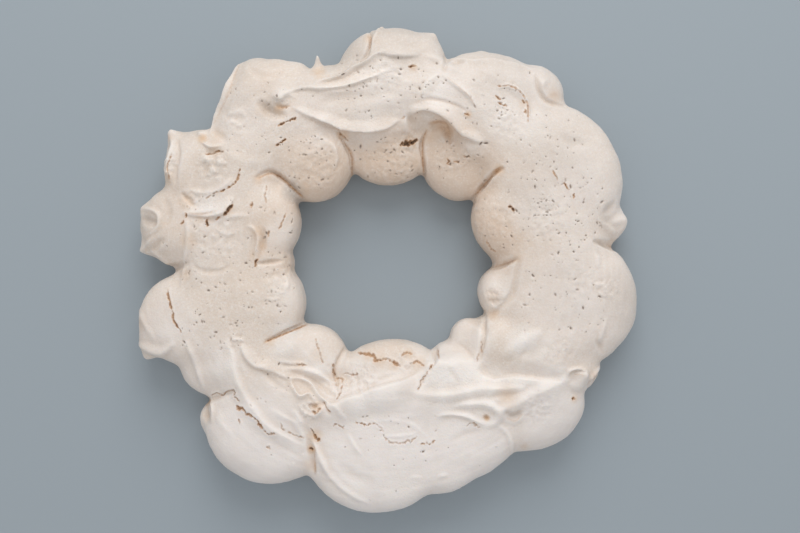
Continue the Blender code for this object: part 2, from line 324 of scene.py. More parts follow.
# Strokes: the path as x and y of one point after another, how high the crest stands, how wide it
# falls away to the left and right of the path, how far it hangs over to the right, and how sharp
# it is from 0 to 1.
FAR_SIDE = [
    # Lip of the spread, standing over the two low inner spoonfuls.
    ([-55, 94.5, -45, 90, -36, 87.5, -28, 84.5, -19, 82.5, -9, 82, 1, 83.5, 8, 88], 3.4, 6, 1.5,
      1.4, 0.5),
    ([12, 90, 11, 84.5, 16, 79, 24, 79], 1, 4, 3),
    ([-40.5, 97, -14.5, 101, 10, 108], -1.8, 11, 9),
    ([-42.5, 78, -36, 76, -31, 72.5, -29, 64.5, -32, 57], 1.3, 1.8, 4, 0, 0.4),
    # Folded tongue at the right end of the lip, and the hollow under it.
    ([13, 90, 18.5, 94, 26.5, 94.5, 35, 91.5, 42, 85.5, 48.5, 79, 57, 74], 4, 6, 3.4, 2, 0.1),
    ([17.5, 98, 24.5, 99.5, 33, 98.5, 42, 95.5, 52, 89.5], -1.1, 1.6, 1.4, 0, 0.5),
    ([25.5, 83, 31.5, 85, 36.5, 81, 37.5, 74], -3.4, 4, 5),
    ([14, 92, 15, 87.5, 19, 85], -1.6, 3, 4),
    ([31.5, 116, 37, 110.5, 45, 104.5, 50, 99.5, 52.5, 92.5], 1.6, 3.5, 1.6, 0.6, 0.4),
    # Crescent left by the end of the knife.
    ([64.5, 106, 71.5, 107.5, 78, 104.5, 82.5, 97.5, 83, 83.5], 1.5, 1.6, 5, -0.5, 0.7),
    # Soft valleys behind the bulge at the right.
    ([88.5, 116, 90.5, 106, 94.5, 100, 100.5, 98, 107, 97], -2.2, 1.8, 3),
    ([96.5, 112.5, 92.5, 110, 91.5, 105], 1, 3, 3),
    ([36, 127.5, 49, 123.5, 63, 124, 77, 121.5, 91, 119], 1.3, 1.6, 4, 0, 0.6),
    # Long sheet drawn out from the far tip.
    ([-3, 148, -6, 138.5, -8.5, 132, -11.5, 124.5], 2.2, 2.2, 3, 0, 0.8),
    ([-10.5, 145, -10, 136, -10.5, 130.5, -12.5, 124.5, -16.5, 121], -3, 2.2, 1.6),
    ([0, 128, -7.5, 125.5, -12.5, 121.5, -19.5, 118, -27, 113.5, -42.5, 109.5], 2.4, 2.4, 2.6, 0,
      0.6),
    ([-5.5, 127.5, -1.5, 126.5, 10, 125.5, 19.5, 125.5], 1.9, 8, 1.6, 0.8, 0.2),
    ([-42.5, 108, -29, 111, -19.5, 115, -11.5, 121.5], -1, 1.3, 1.3),
    ([-64, 101, -50.5, 106, -36.5, 106, -24, 107.5, -11.5, 111.5, 2, 116.5], 2.2, 4, 2, 0.8, 0.4),
    ([-38.5, 103, -25, 104, -11.5, 105.5], 0.8, 3, 2, 0, 0.3),
    ([21.5, 126, 30.5, 123, 37.5, 118.5, 45, 115], 1.2, 5, 3, 0, 0.2),
    ([20.5, 95.5, 21.5, 103, 24.5, 110, 31.5, 115], 1.2, 1.8, 6, 0, 0.4),
    ([38.5, 122, 42.5, 123, 46.5, 123], -1.2, 3, 3),
    ([4, 137, 14, 132.5, 23.5, 132.5], -0.8, 4, 4),
    # Knob at the left end of the lip.
    ([-68, 100.5, -63.5, 103.5, -59, 104, -53, 100], 1.4, 3, 3, 0.3, 0.2),
    ([-76, 98.5, -70, 93.5, -64, 90.5, -58, 91], -2.8, 5.5, 5),
    ([-66, 96.5, -61, 95, -56, 95.5], -1.8, 1.8, 1.8),
    ([-82.5, 120, -74, 114.5, -66, 114.5, -59, 119], -0.8, 4, 4),
]
LEFT_SIDE = [
    # Edge of the shoulder and the folds behind the left far peak.
    ([-85, 128, -89.5, 117.5, -93, 107.5, -96, 98, -100.5, 89.5, -104.5, 78.5], 3.4, 3.5, 2.6, 0.8,
      0.7),
    ([-87, 126, -90.5, 114.5, -93.5, 104, -97.5, 95.5, -102.5, 85.5], -1.4, 1.6, 1.6, 0, 0.4),
    ([-128, 84, -126.5, 77, -126, 70.5, -128, 62, -127.5, 51], 3, 2.4, 2.4, 0, 0.6),
    ([-123.5, 78, -122.5, 68.5, -124, 58.5, -124, 49], -1.5, 2.5, 3),
    ([-127.5, 66.5, -130.5, 61, -130, 52], 1.2, 1.8, 1.8, 0, 0.5),
    ([-110, 75, -106, 73.5, -102.5, 72, -96, 72.5], 2.4, 3.4, 1.6, 1.2, 0.3),
    ([-107, 68.5, -101, 68.5, -95, 68.5], -1.6, 2, 2),
    ([-104, 82.5, -98.5, 79, -93, 74], -1, 4, 4),
    ([-95, 68, -85, 64, -75.5, 62.5, -66, 64.5], 0.8, 6, 6, 0, 0.2),
    ([-94, 90, -87.5, 92.5, -81.5, 89.5], 0.8, 2.5, 2.5, 0, 0.3),
    ([-95.5, 84, -89.5, 86, -83.5, 82.5], 0.7, 2.5, 2.5, 0, 0.3),
    # Lens-shaped fold in the middle of the left side.
    ([-119.5, 33, -113, 32, -104, 31.5, -95, 34, -89, 42], 2.8, 8, 1.8, 0.8, 0.3),
    ([-117, 31.5, -109, 31.5, -100, 33], -0.7, 2.5, 3),
    ([-119, 46, -106.5, 44.5, -98, 46.5, -89, 53.5], 1.2, 4, 2, 0, 0.4),
    ([-121, 45, -115.5, 40, -112.5, 36], -1.4, 2.5, 2.5),
    ([-100, 24.5, -95, 20.5, -90.5, 20.5, -85.5, 23.5], 0.7, 2, 2, 0, 0.4),
    ([-97, 29, -87.5, 31, -79.5, 31], 0.8, 3, 2, 0, 0.3),
    # Scooped end and its facets.
    ([-148.5, 35, -143, 35.5, -137, 34, -134, 30.5, -135.5, 24.5, -141.5, 19.5], 1.8, 3, 2.4, 0,
      0.5),
    ([-146, 30, -140, 28, -135, 26.5], -2.4, 4.5, 4.5),
    ([-148, 10, -142, 15, -137, 19.5], 1.4, 2.5, 2.5, 0, 0.5),
    ([-139.5, 11, -136, 14, -131, 18.5], -1.4, 3.5, 3.5),
    ([-148, 10, -139.5, 10, -132, 4.5, -124.5, -4], 1.4, 3, 3, 0, 0.4),
    ([-131.5, 42.5, -128, 33.5, -129.5, 24.5], -0.9, 4, 4),
    # Faint folds on the spread between the spoonfuls.
    ([-117.5, 33, -116.5, 17.5, -120, 2, -121, -11.5], 1.3, 3.5, 2.2, 0, 0.3),
    ([-115, 6, -111, 0.5, -103, -1.5, -95, 0, -91.5, 4], -0.9, 2, 3, 0, 0.2),
    ([-70.5, -16.5, -67, -18, -62, -16.5], 0.9, 1.8, 1.8, 0, 0.4),
    ([-61, -14.5, -58.5, -10.5, -58, -6], 0.8, 2, 2, 0, 0.4),
    ([-70, -6, -64.5, -3, -58.5, -7], -0.6, 3, 3),
    ([-93, -41.5, -87.5, -41, -83.5, -42.5], 1.4, 2, 2, 0, 0.4),
    ([-150, -20, -144, -31.5, -136.5, -42.5], 0.8, 3, 3, 0, 0.3),
    # Flame where the inner spoonfuls meet.
    ([-82.5, 25.5, -77.5, 23.5, -75, 17.5, -76, 11, -76.5, 3], 1.6, 2.6, 2, 0.4, 0.4),
    ([-72, 24.5, -71.5, 17.5, -73, 8], -1.4, 2.4, 3),
    ([-152, -44, -141.5, -47.5, -132.5, -49, -124, -43], 2.4, 5, 4, 0, 0.4),
    ([-119, -41, -113.5, -53, -108, -73], 1.8, 4, 3, 0, 0.4),
]
NEAR_SIDE = [
    # Long strokes down the left near side.
    ([-94, -41, -90, -50.5, -88, -61, -83.5, -72, -77.5, -81.5, -68, -92.5, -47, -105], 3.2, 3.5,
      10, 0, 0.5),
    ([-85.5, -42.5, -82.5, -49.5, -77.5, -55.5, -70, -58, -60, -63, -54.5, -66], 3, 7, 2.4, 1.2,
      0.4),
    ([-62, -58.5, -51, -59, -42, -61, -35.5, -65.5, -29, -71.5], 2.4, 3, 3, 0.4, 0.8),
    ([-58, -64, -50, -64.5, -44, -68.5, -39.5, -74, -32.5, -79.5], 2.6, 2.4, 2.6, 0.3, 0.8),
    ([-56.5, -64.5, -54.5, -70, -50.5, -74.5, -45.5, -73, -41.5, -77], 2.4, 1.6, 2.2, 0, 0.6),
    ([-53, -62.5, -45, -64.5, -37.5, -69.5, -30, -75], -1.4, 1.6, 1.8),
    ([-64.5, -54, -57, -55.5, -47, -56.5], 1.4, 3, 1.2, 0, 0.5),
    ([-73.5, -58, -64, -67, -54.5, -73], -1, 3, 3),
    ([-70, -80, -62, -85.5, -54, -89.5, -50.5, -96.5], 1, 2, 4, 0, 0.4),
    ([-54, -81.5, -50, -89.5, -46.5, -96.5, -41, -105.5, -36, -114.5, -33, -124.5], 3, 3, 8, 0,
      0.5),
    ([-50.5, -89.5, -45, -100.5, -42.5, -123], -3.2, 3.5, 3.5),
    ([-106, -77, -103, -83, -103.5, -91.5], 1.8, 2.2, 2.2, 0, 0.5),
    ([-109, -82, -108, -87, -107, -91.5], -2, 3, 3),
    ([-100.5, -82.5, -96, -92, -89.5, -97.5], 0.7, 4, 4, 0, 0.3),
    # Torn curl at the foot of the long strokes.
    ([-51.5, -79.5, -47.5, -83.5, -42.5, -85.5, -35.5, -80.5], 1.8, 1.8, 3, 0, 0.5),
    ([-46.5, -78.5, -43.5, -80.5, -39.5, -79.5], -2, 2.4, 2.4),
    ([-37.5, -76.5, -35, -81.5, -32, -85.5], -1.4, 1.6, 1.6),
    ([-38.5, -75.5, -32.5, -78.5, -27, -83.5, -22, -89.5], 1, 1.6, 3, 0, 0.4),
    # Crest along the near side, with a smooth roof below it.
    ([-42.5, -81.5, -31, -79.5, -19, -75.5, -7.5, -72, 4, -68.5, 14, -65, 22, -60], 3.8, 3, 15, 0,
      0.3),
    ([14, -72, 23.5, -74, 35, -74.5, 45, -73, 56.5, -70.5, 68.5, -70.5, 82, -69], 2.4, 5, 5, 0,
      0.3),
    ([62.5, -83.5, 70, -81, 78, -77.5, 86, -73.5, 98, -68, 109.5, -64], 3.2, 6, 16, 0, 0.4),
    ([60.5, -74, 68.5, -73, 78, -72], -0.8, 4.5, 4),
    ([53.5, -58.5, 58, -61.5, 63.5, -63, 73, -61.5, 85.5, -63, 103.5, -66], -3.4, 11, 2.2, 0, 0.2),
    ([22, -57.5, 31.5, -55.5, 41.5, -57.5], 1.2, 4, 5, 0, 0.3),
    ([35.5, -57.5, 40.5, -63.5, 43.5, -68.5], -0.5, 2.4, 2.4),
    ([-21.5, -68, -13.5, -66, -5.5, -66.5], 0.8, 2.4, 2, 0, 0.5),
    ([-19.5, -71.5, -11.5, -69.5, -4, -65, 6, -62], -0.8, 2, 2),
    ([24, -59.5, 21, -66, 18, -72], -1.4, 1.8, 1.8),
    ([-11.5, -88.5, 2, -89, 12, -90, 19.5, -94.5, 26.5, -101.5], 0.5, 2, 1.6, 0, 0.5),
    ([-3.5, -97, 6, -98, 16, -96.5, 19.5, -93.5], 0.6, 2, 1.4, 0, 0.5),
    ([-23, -95.5, -18.5, -103.5, -13.5, -110], 1, 2, 2.4, 0, 0.5),
    ([-41, -109.5, -35, -118.5, -27.5, -127.5, -17.5, -134.5, -8, -139], 1.3, 4, 2.4, 0, 0.4),
    ([-29, -113.5, -19.5, -121, -5.5, -125], -0.6, 5, 5),
    ([14, -122, 21.5, -122.5], 0.6, 2, 2, 0, 0.4),
    ([29.5, -122, 36.5, -121], 0.8, 2, 2, 0, 0.4),
    ([35.5, -101.5, 47, -96.5, 56.5, -94.5], -0.6, 3, 3),
    # Curl with a hollow inside it, and the pit beside it.
    ([39, -80.5, 48.5, -79, 58.5, -79, 64, -81.5, 66, -85, 64, -90, 58.5, -92.5], 2.4, 4, 4.5, 0.2,
      0.3),
    ([29.5, -86.5, 37, -85, 46, -86, 53, -89, 58.5, -92.5], 2.2, 3.5, 2, 0.4, 0.5),
    ([57, -86, 59, -87.5, 60, -89], -2.6, 2.2, 2.2),
    ([69, -83, 74.5, -85.5, 80, -82.5], -2.2, 2.4, 4),
    ([70.5, -87.5, 75.5, -89.5, 81, -84.5], 0.8, 1.5, 3, 0, 0.5),
    ([64.5, -91.5, 69.5, -95, 72.5, -100.5, 75, -111], 1.4, 2.4, 1.8, 0, 0.6),
]
RIGHT_SIDE = [
    ([66.5, -51.5, 74, -47.5, 81.5, -42, 91.5, -37], 1.7, 7, 6, 0, 0),
    ([76, -52.5, 86, -48.5, 93.5, -43.5], -0.6, 5, 6),
    # Arch at the right near end.
    ([106.5, -63.5, 107.5, -60, 110.5, -58.5, 114.5, -59, 118, -62.5], 2.4, 1.8, 1.6, 0.4, 0.5),
    ([109.5, -61.5, 112.5, -61, 115.5, -62.5], -1.2, 1.2, 1.2),
    ([108.5, -66.5, 113, -69.5, 117.5, -69], 1.8, 5, 5),
    ([118.5, -69, 123, -63, 129, -57], 1.6, 2.4, 2.4, 0, 0.5),
    ([117.5, -60.5, 120.5, -66, 121, -73], -1.2, 2, 2),
    ([129, -28, 127, -37, 124.5, -45], 1, 2.4, 3, 0, 0.3),
    ([123.5, -41, 126, -45, 128.5, -50.5], -1.2, 2.4, 2.4),
    # Soft valley between the two inner spoonfuls and the spread.
    ([77.5, 6, 75.5, -5, 73, -15.5, 61.5, -28.5], -1.6, 4, 2.5),
    ([46, -29, 55.5, -32.5, 61, -41], -1.2, 4, 4),
    ([59.5, -18, 63.5, -19.5, 68, -18.5], -0.6, 1.6, 1.6),
    # Nub at the right.
    ([132.5, 27.5, 139, 29, 147, 30], 1.2, 5, 4, 0, 0.2),
    ([128, 32.5, 132.5, 35.5, 136.5, 40.5], -1.2, 4, 3),
    ([124.5, 29.5, 130.5, 26, 137.5, 21], 1, 3, 4, 0, 0.3),
    ([121, -7, 127, -10.5, 133, -16.5], 0.9, 2, 3, 0, 0.4),
    ([121.5, 12, 124.5, 6, 124, 0], 0.9, 3, 3, 0, 0.3),
    ([101.5, 78, 109.5, 74, 119.5, 74.5], -0.7, 5, 5),
]
CREASES = [
    ([-46, -31, -59.5, -37, -72, -43], -3.4, 2, 1.6, 0, 0.8),
    ([-60, 5, -69.5, 4, -77, 3], -2.4, 2, 2, 0, 0.6),
    ([-50, 42, -55.5, 47.5, -62.5, 53.5, -68.5, 57, -77, 53], -4, 2, 3.4, 0, 0.7),
    ([-20, 52, -20.5, 65, -22, 70, -25.5, 75.5, -29, 82], -4, 2.2, 2.2, 0, 0.8),
    ([23, 52, 22, 64, 21, 75, 24, 83], -4, 2, 2, 0, 0.8),
    ([50, 40, 58, 50, 63.5, 56.5, 69.5, 59.5], -4.5, 2.6, 2.2, 0, 0.7),
    ([62, 0, 69.5, 2.5, 77.5, 6.5], -3.2, 3.2, 2.4, 0, 0.6),
    ([59, -26, 57, -39.5, 54.5, -55.5], -2.6, 2.6, 2.4, 0, 0.6),
    ([42, -44, 49, -49.5, 53.5, -56.5], -0.7, 2, 1.6, 0, 0.6),
    ([30, -44, 28, -54, 24, -61.5], -2.4, 2.6, 2.6, 0, 0.6),
    ([-24, -46, -30, -58, -30.5, -67.5], -2.6, 2.6, 2.6, 0, 0.6),
    ([-33.5, -57.5, -29.5, -66.5, -28, -76], -1.4, 2, 2, 0, 0.4),
    ([139, 11, 130.5, 14.5, 121.5, 16.5], -3, 2.6, 3.2, 0, 0.4),
    ([38, 134, 35.5, 122.5, 33.5, 115], -2, 3, 3, 0, 0.4),
    ([-136, 0, -125.5, 1, -115.5, 4], -2, 3.6, 3.6, 0, 0.3),
    ([-111, -81, -98.5, -75, -87, -71], -1.8, 3, 3, 0, 0.3),
]


def lay_along(path, steps, places, reach):
    """The vertices near a path: how far off it they are, on which side, and how far along."""
    line = curve_through(np.reshape(path, (-1, 2)), steps)
    flat = places[:, :2]
    low = line.min(axis=0) - reach
    high = line.max(axis=0) + reach
    near = np.where(np.all((flat > low) & (flat < high), axis=1))[0]
    starts = line[:-1]
    steps = line[1:] - starts
    lengths = np.hypot(steps[:, 0], steps[:, 1])
    walked = np.concatenate([[0], np.cumsum(lengths)[:-1]])
    away = flat[near, None, :] - starts[None, :, :]
    part = np.clip((away * steps).sum(axis=2) / lengths ** 2, 0, 1)
    away -= part[:, :, None] * steps
    closest = np.argmin((away ** 2).sum(axis=2), axis=1)
    rows = np.arange(len(near))
    away = away[rows, closest]
    heading = (steps / lengths[:, None])[closest]
    off = np.hypot(away[:, 0], away[:, 1])
    right = heading[:, 1] * away[:, 0] > heading[:, 0] * away[:, 1]
    along = walked[closest] + part[rows, closest] * lengths[closest]
    return near, off, right, along, walked[-1] + lengths[-1], heading


def draw_stroke(stroke, places, normals, seed):
    """Raises a crest along a stroke, or presses a crease where its rise is below zero."""
    reach = max(stroke.left, stroke.right)
    near, off, right, along, length, heading = lay_along(
        stroke.path, STROKE_STEPS, places, reach
    )
    taper = np.maximum(np.sin(np.pi * along / length), 0) ** STROKE_TAPER
    unsteady = [noise.noise((walk / UNSTEADY_LENGTH, seed * UNSTEADY_SHIFT, 0.5)) for walk in along]
    taper *= 1 + UNSTEADY * np.array(unsteady)
    width = np.where(right, stroke.right, stroke.left) * (1 - NARROWED + NARROWED * taper)
    off = np.minimum(off / width, 1)
    soft = 0.5 + 0.5 * np.cos(np.pi * off)
    sharp = (1 - off) ** 2
    facing_up = np.clip((normals[near, 2] - CREASE_FLOOR) * CREASE_FADE, 0, 1)
    amount = (soft + (sharp - soft) * stroke.keen) * taper * facing_up
    places[near] += (stroke.rise * amount)[:, None] * normals[near]
    places[near, 0] += stroke.push * amount * heading[:, 1]
    places[near, 1] -= stroke.push * amount * heading[:, 0]


places = places_of(wreath)
normals = normals_of(wreath)
strokes = FAR_SIDE + LEFT_SIDE + NEAR_SIDE + RIGHT_SIDE + CREASES
for seed, row in enumerate(strokes):
    draw_stroke(Stroke(*row), places, normals, seed)


# ---- The drawn-out points ----------------------------------------------------------------------
# Where the spoon left the mix, the last of it was drawn out to a short point or a beak. They sink
# back a little in the oven, so none of them is sharp.

POINT_BLUNTNESS = 0.15
POINTS = [  # the place, how far it was drawn out in x, y and z, and how far around that reaches
    (-3, 143.5, 17, 0, 3.6, 2, 2.6),
    (27, 139, 20, 1.5, 1.5, 1, 6),
    (-41, 118.5, 24, 0, 5.5, 3, 5),
    (-41, 124, 27, 0, 3.6, 2, 2.8),
    (-126, 78, 24, -3, 4, 4, 7),
    (-107.5, 79.5, 28, -4.5, 0, 3, 6),
    (-144, 35, 20, -2.5, 1.5, 1, 7),
    (-144, 13, 18, -4, -2, 1, 8),
    (-143, -49, 18, -2, -6, 1, 7),
    (-62, 102, 39, 0, -2.5, 3, 6),
    (114, -64, 30, 4, 2, 3, 8),
    (141, 27, 18, 2, 1, 1, 7),
    (36.5, -131, 14, 1, -3, 1, 4.5),
    (57, 128, 20, 0, 2, 1, 5),
    (-106, 64, 38, 0, 0, 1.6, 5),
    (-98, 63, 39, 0, 0, 1.4, 4.5),
    (-101, 57, 39, 0, 0, 1.2, 4.5),
]
WORKING_GRAIN = 0.6  # grain of the mesh that carries the marks and the skin
FIRST_CUT = -3  # first cut a little below the paper; the foot is cut clean once the skin is made
WORKING_PASSES = 1
for x, y, z, dx, dy, dz, reach in POINTS:
    distance = np.linalg.norm(places - np.array((x, y, z)), axis=1)
    amount = np.clip(1 + POINT_BLUNTNESS - distance / reach, 0, 1) ** 2
    places += amount[:, None] * np.array((dx, dy, dz))
move_to(wreath, places)


def cut_off_below(piece, height):
    """Cuts a piece off flat and closes the cut."""
    bpy.context.view_layer.objects.active = piece
    bpy.ops.object.mode_set(mode="EDIT")
    bpy.ops.mesh.select_all(action="SELECT")
    bpy.ops.mesh.bisect(plane_co=(0, 0, height * MM), plane_no=(0, 0, 1), clear_inner=True)
    bpy.ops.mesh.fill(use_beauty=True)
    bpy.ops.mesh.select_all(action="SELECT")
    bpy.ops.mesh.normals_make_consistent(inside=False)
    bpy.ops.object.mode_set(mode="OBJECT")


cut_off_below(wreath, FIRST_CUT)
finish_with(wreath, "REMESH", mode="VOXEL", voxel_size=WORKING_GRAIN * MM)
finish_with(wreath, "SMOOTH", factor=SMOOTHING, iterations=WORKING_PASSES)


# ---- The skin: swells, ripples, cracks and pores -----------------------------------------------
# The mix is never quite even, and the blade leaves faint ripples. In the oven the skin dries,
# cracks over the rising inside, and opens small pores where bubbles reach it.

SWELLS = ((0.024, 1.6), (0.008, 0.5), (0.003, 0.16))  # size in metres, height in millimetres
for size, height in SWELLS:
    clouds = bpy.data.textures.new("swells", "CLOUDS")
    clouds.noise_scale = size
    clouds.noise_depth = 1
    finish_with(wreath, "DISPLACE", texture=clouds, texture_coords="LOCAL", mid_level=0.5,
                strength=height * MM)

RIPPLE_ACROSS = 2.6
RIPPLE_ALONG = 28.0
RIPPLE_HEIGHT = 0.16
RIPPLED_FROM = 22  # the blade left ripples from this height up
RIPPLED_OVER = 12  # and they reach their full height this much further up
RING_RADIUS = 95.0

Crack = namedtuple("Crack", "path width depth browned", defaults=[0.6])
CRACKS = [  # the path, the width, the depth, and how brown it is inside; the darkest of it is painted shade in the depth
    # Left near spoonful.
    ([-104.5, -75.5, -99.5, -73.5, -97.5, -75, -94, -72.5, -89.5, -71, -89, -75, -86, -77.5], 0.9,
      0.9, 0.25),
    ([-88, -80, -86.5, -82, -84.5, -81.5, -82.5, -84.5, -79.5, -85.5, -76, -87.5, -74, -91,
      -71.5, -93.5], 2, 1.5, 0.55),
    ([-71.5, -93.5, -70, -96, -68.5, -97, -66.5, -96, -64, -96.5], 1, 1, 0.35),
    ([-86.5, -88, -86, -90.5], 1.2, 0.7, 0.45),
    ([-62, -90.5, -61, -93, -59.5, -94.5], 1, 0.7, 0.2),
    ([-57.5, -95.5, -52.5, -98, -48.5, -99], 1.2, 0.7, 0.35),
    ([-44.5, -93.5, -42.5, -96, -41.5, -99, -39, -101], 3.1, 1.5, 0.65),
    ([-45, -105.5, -43.5, -106.5], 3.3, 1.6, 1),
    ([-70, -104, -68, -105.5], 1.2, 0.7, 0.3),
    # Inner edge of the near side.
    ([-17, -50, -13, -50.5, -8, -51.5, -6, -54, -3, -54, 0, -53, 3, -54.5, 5, -56, 8, -57.5], 2.5,
      1.3, 0.5),
    ([9, -51.5, 10.5, -50, 13, -49.5, 15, -50.5], 1.4, 0.9, 0.45),
    ([14, -56, 18, -55, 22, -57], 1.5, 0.9, 0.4),
    ([25.5, -59, 27, -56.5], 1.5, 0.8, 0.6),
    ([31, -49, 31, -52.5], 1.4, 0.7, 0.45),
    ([-42, -41.5, -41, -45.5, -39.5, -49.5, -37.5, -55.5], 1.3, 0.7, 0.3),
    ([-31.5, -56.5, -32, -60.5, -31, -63.5], 1.2, 1, 0.55),
    ([-30, -65, -27, -65.5, -26, -67.5], 1.2, 0.9, 0.45),
    ([-25.5, -62.5, -23, -62, -20, -63, -16.5, -62.5], 1.1, 0.8, 0.35),
    ([-26, -69, -27, -72.5, -29, -76], 1.2, 0.7, 0.45),
    ([-53, -56, -50, -56.5, -47, -57], 1.4, 0.7, 0.45),
    # Roof of the near side.
    ([-17.5, -90, -14.5, -90.5, -11.5, -91.5, -9.5, -90.5, -6.5, -90.5], 1.3, 0.9, 0.5),
    ([-6.5, -90.5, -3.5, -93, -1.5, -95], 0.8, 0.4, 0.15),
    ([-31, -92, -28, -91.5, -25, -93.5], 1, 0.7, 0.4),
    ([-1, -98.5, 1, -100.5, 3, -102, 5, -101.5, 10, -102, 12.5, -100.5, 14, -101.5, 18, -98], 0.9,
      0.7, 0.25),
    ([20.5, -102.5, 22.5, -102.5], 1.3, 0.9, 0.6),
    ([23.5, -101.5, 25.5, -102.5, 28.5, -100.5], 1.1, 0.8, 0.5),
    ([47, -92, 50, -89.5, 52.5, -91.5, 54.5, -92.5], 1.1, 0.7, 0.3),
    ([-43.5, -83.5, -40.5, -84, -38.5, -81.5], 1.9, 0.9, 0.45),
    ([-36.5, -78, -34.5, -81.5, -32.5, -83.5], 1.1, 0.7, 0.45),
    ([24, -60.5, 21.5, -65, 18.5, -70.5], 0.8, 0.6, 0.25),
    ([110, -76.5, 111.5, -77], 4.2, 1.5, 0.85),
    # Left side.
    ([-105.5, 41.5, -103, 43], 1.1, 0.7, 0.45),
    ([-101.5, 44, -98.5, 45], 1.1, 0.7, 0.4),
    ([-97, 45.5, -94.5, 46.5], 1.4, 1, 1),
    ([-93, 47, -89, 50, -87, 52.5, -86.5, 55.5, -85.5, 58.5], 1.7, 1.1, 0.65),
    ([-100, 29, -97.5, 30.5], 1.6, 0.9, 0.65),
    ([-95, 31.5, -93, 34, -90, 37.5], 2.5, 1.5, 0.9),
    ([-105, 29, -105, 25], 1.8, 1.2, 0.95),
    ([-117.5, 32.5, -117.5, 30.5], 1.8, 1.1, 0.8),
    ([-119, 28.5, -120.5, 26], 1.7, 0.9, 0.7),
    ([-78.5, 39, -79, 36], 1.8, 1, 0.55),
    ([-69, 22, -69, 19], 1.8, 1, 0.5),
    ([-75.5, 5.5, -77, 1.5], 2.3, 1.3, 0.9),
    ([-59, 32.5, -61, 26.5, -63, 23.5], 1, 0.7, 0.45),
    ([-70.5, 49, -71, 44, -70.5, 39], 0.9, 0.6, 0.35),
    ([-63, 84, -60, 85.5, -56, 87, -53, 88.5], 1.8, 1.3, 0.85),
    ([-64.5, 72.5, -62, 74, -59, 76], 2.2, 1.4, 1),
    ([-106, 67.5, -102.5, 67.5, -99, 69, -95.5, 69], 1.6, 1, 0.7),
    ([-129, -12, -128, -17.5, -126, -24.5, -124.5, -31, -120.5, -37], 1.5, 1, 0.7),
    ([-127, 67.5, -129, 61, -128.5, 53], 1, 0.7, 0.4),
    # Far side.
    ([8.5, 73.5, 11, 74.5, 14.5, 75.5, 18, 77], 4.6, 1.8, 0.9),
    ([10, 73.5, 14, 74.5, 17.5, 76], 3.4, 1.6, 0.9),
    ([-27.5, 80.5, -25.5, 78.5, -23, 76], 2.4, 1.2, 0.55),
    ([-9, 136.5, -9.5, 133.5, -10.5, 129], 0.9, 0.5, 0.25),
    ([13, 118.5, 17.5, 119], 2.6, 1.3, 1),
    ([9.5, 88.5, 10.5, 89.5], 1.5, 0.7, 0.5),
    ([64, 101.5, 67, 99.5], 1.8, 1, 0.7),
    ([65.5, 97.5, 68.5, 96, 70.5, 95.5], 1.7, 1.1, 0.7),
    ([46, 91, 48.5, 90], 3.1, 1.2, 0.8),
    ([65.5, 107.5, 71.5, 107.5, 78, 104.5, 82.5, 97.5, 83, 86.5], 1.2, 0.7, 0.5),
    ([80, 99, 81, 97.5], 1.8, 0.8, 0.85),
    ([81.5, 93.5, 82, 91.5], 1.6, 0.8, 0.75),
    ([36, 65.5, 37.5, 62], 1.6, 1.1, 0.85),
    ([40, 64, 43, 63], 1.6, 1, 0.6),
    ([45.5, 67, 49.5, 66], 1.2, 0.7, 0.3),
    # Right side.
    ([97.5, 57.5, 100, 52], 1.6, 1, 0.75),
    ([104, 50.5, 105, 48.5, 107, 46.5], 1.6, 1, 0.8),
    ([110, 44, 109.5, 41.5], 1.6, 0.9, 0.7),
    ([72, 36.5, 74.5, 34.5], 3.7, 2.2, 1),
    ([59.5, 17, 61.5, 13, 64.5, 10.5], 1, 0.6, 0.35),
    ([53.5, -54.5, 54.5, -50], 1, 0.6, 0.3),
    ([56, -43, 56.5, -49], 1.1, 0.6, 0.4),
]
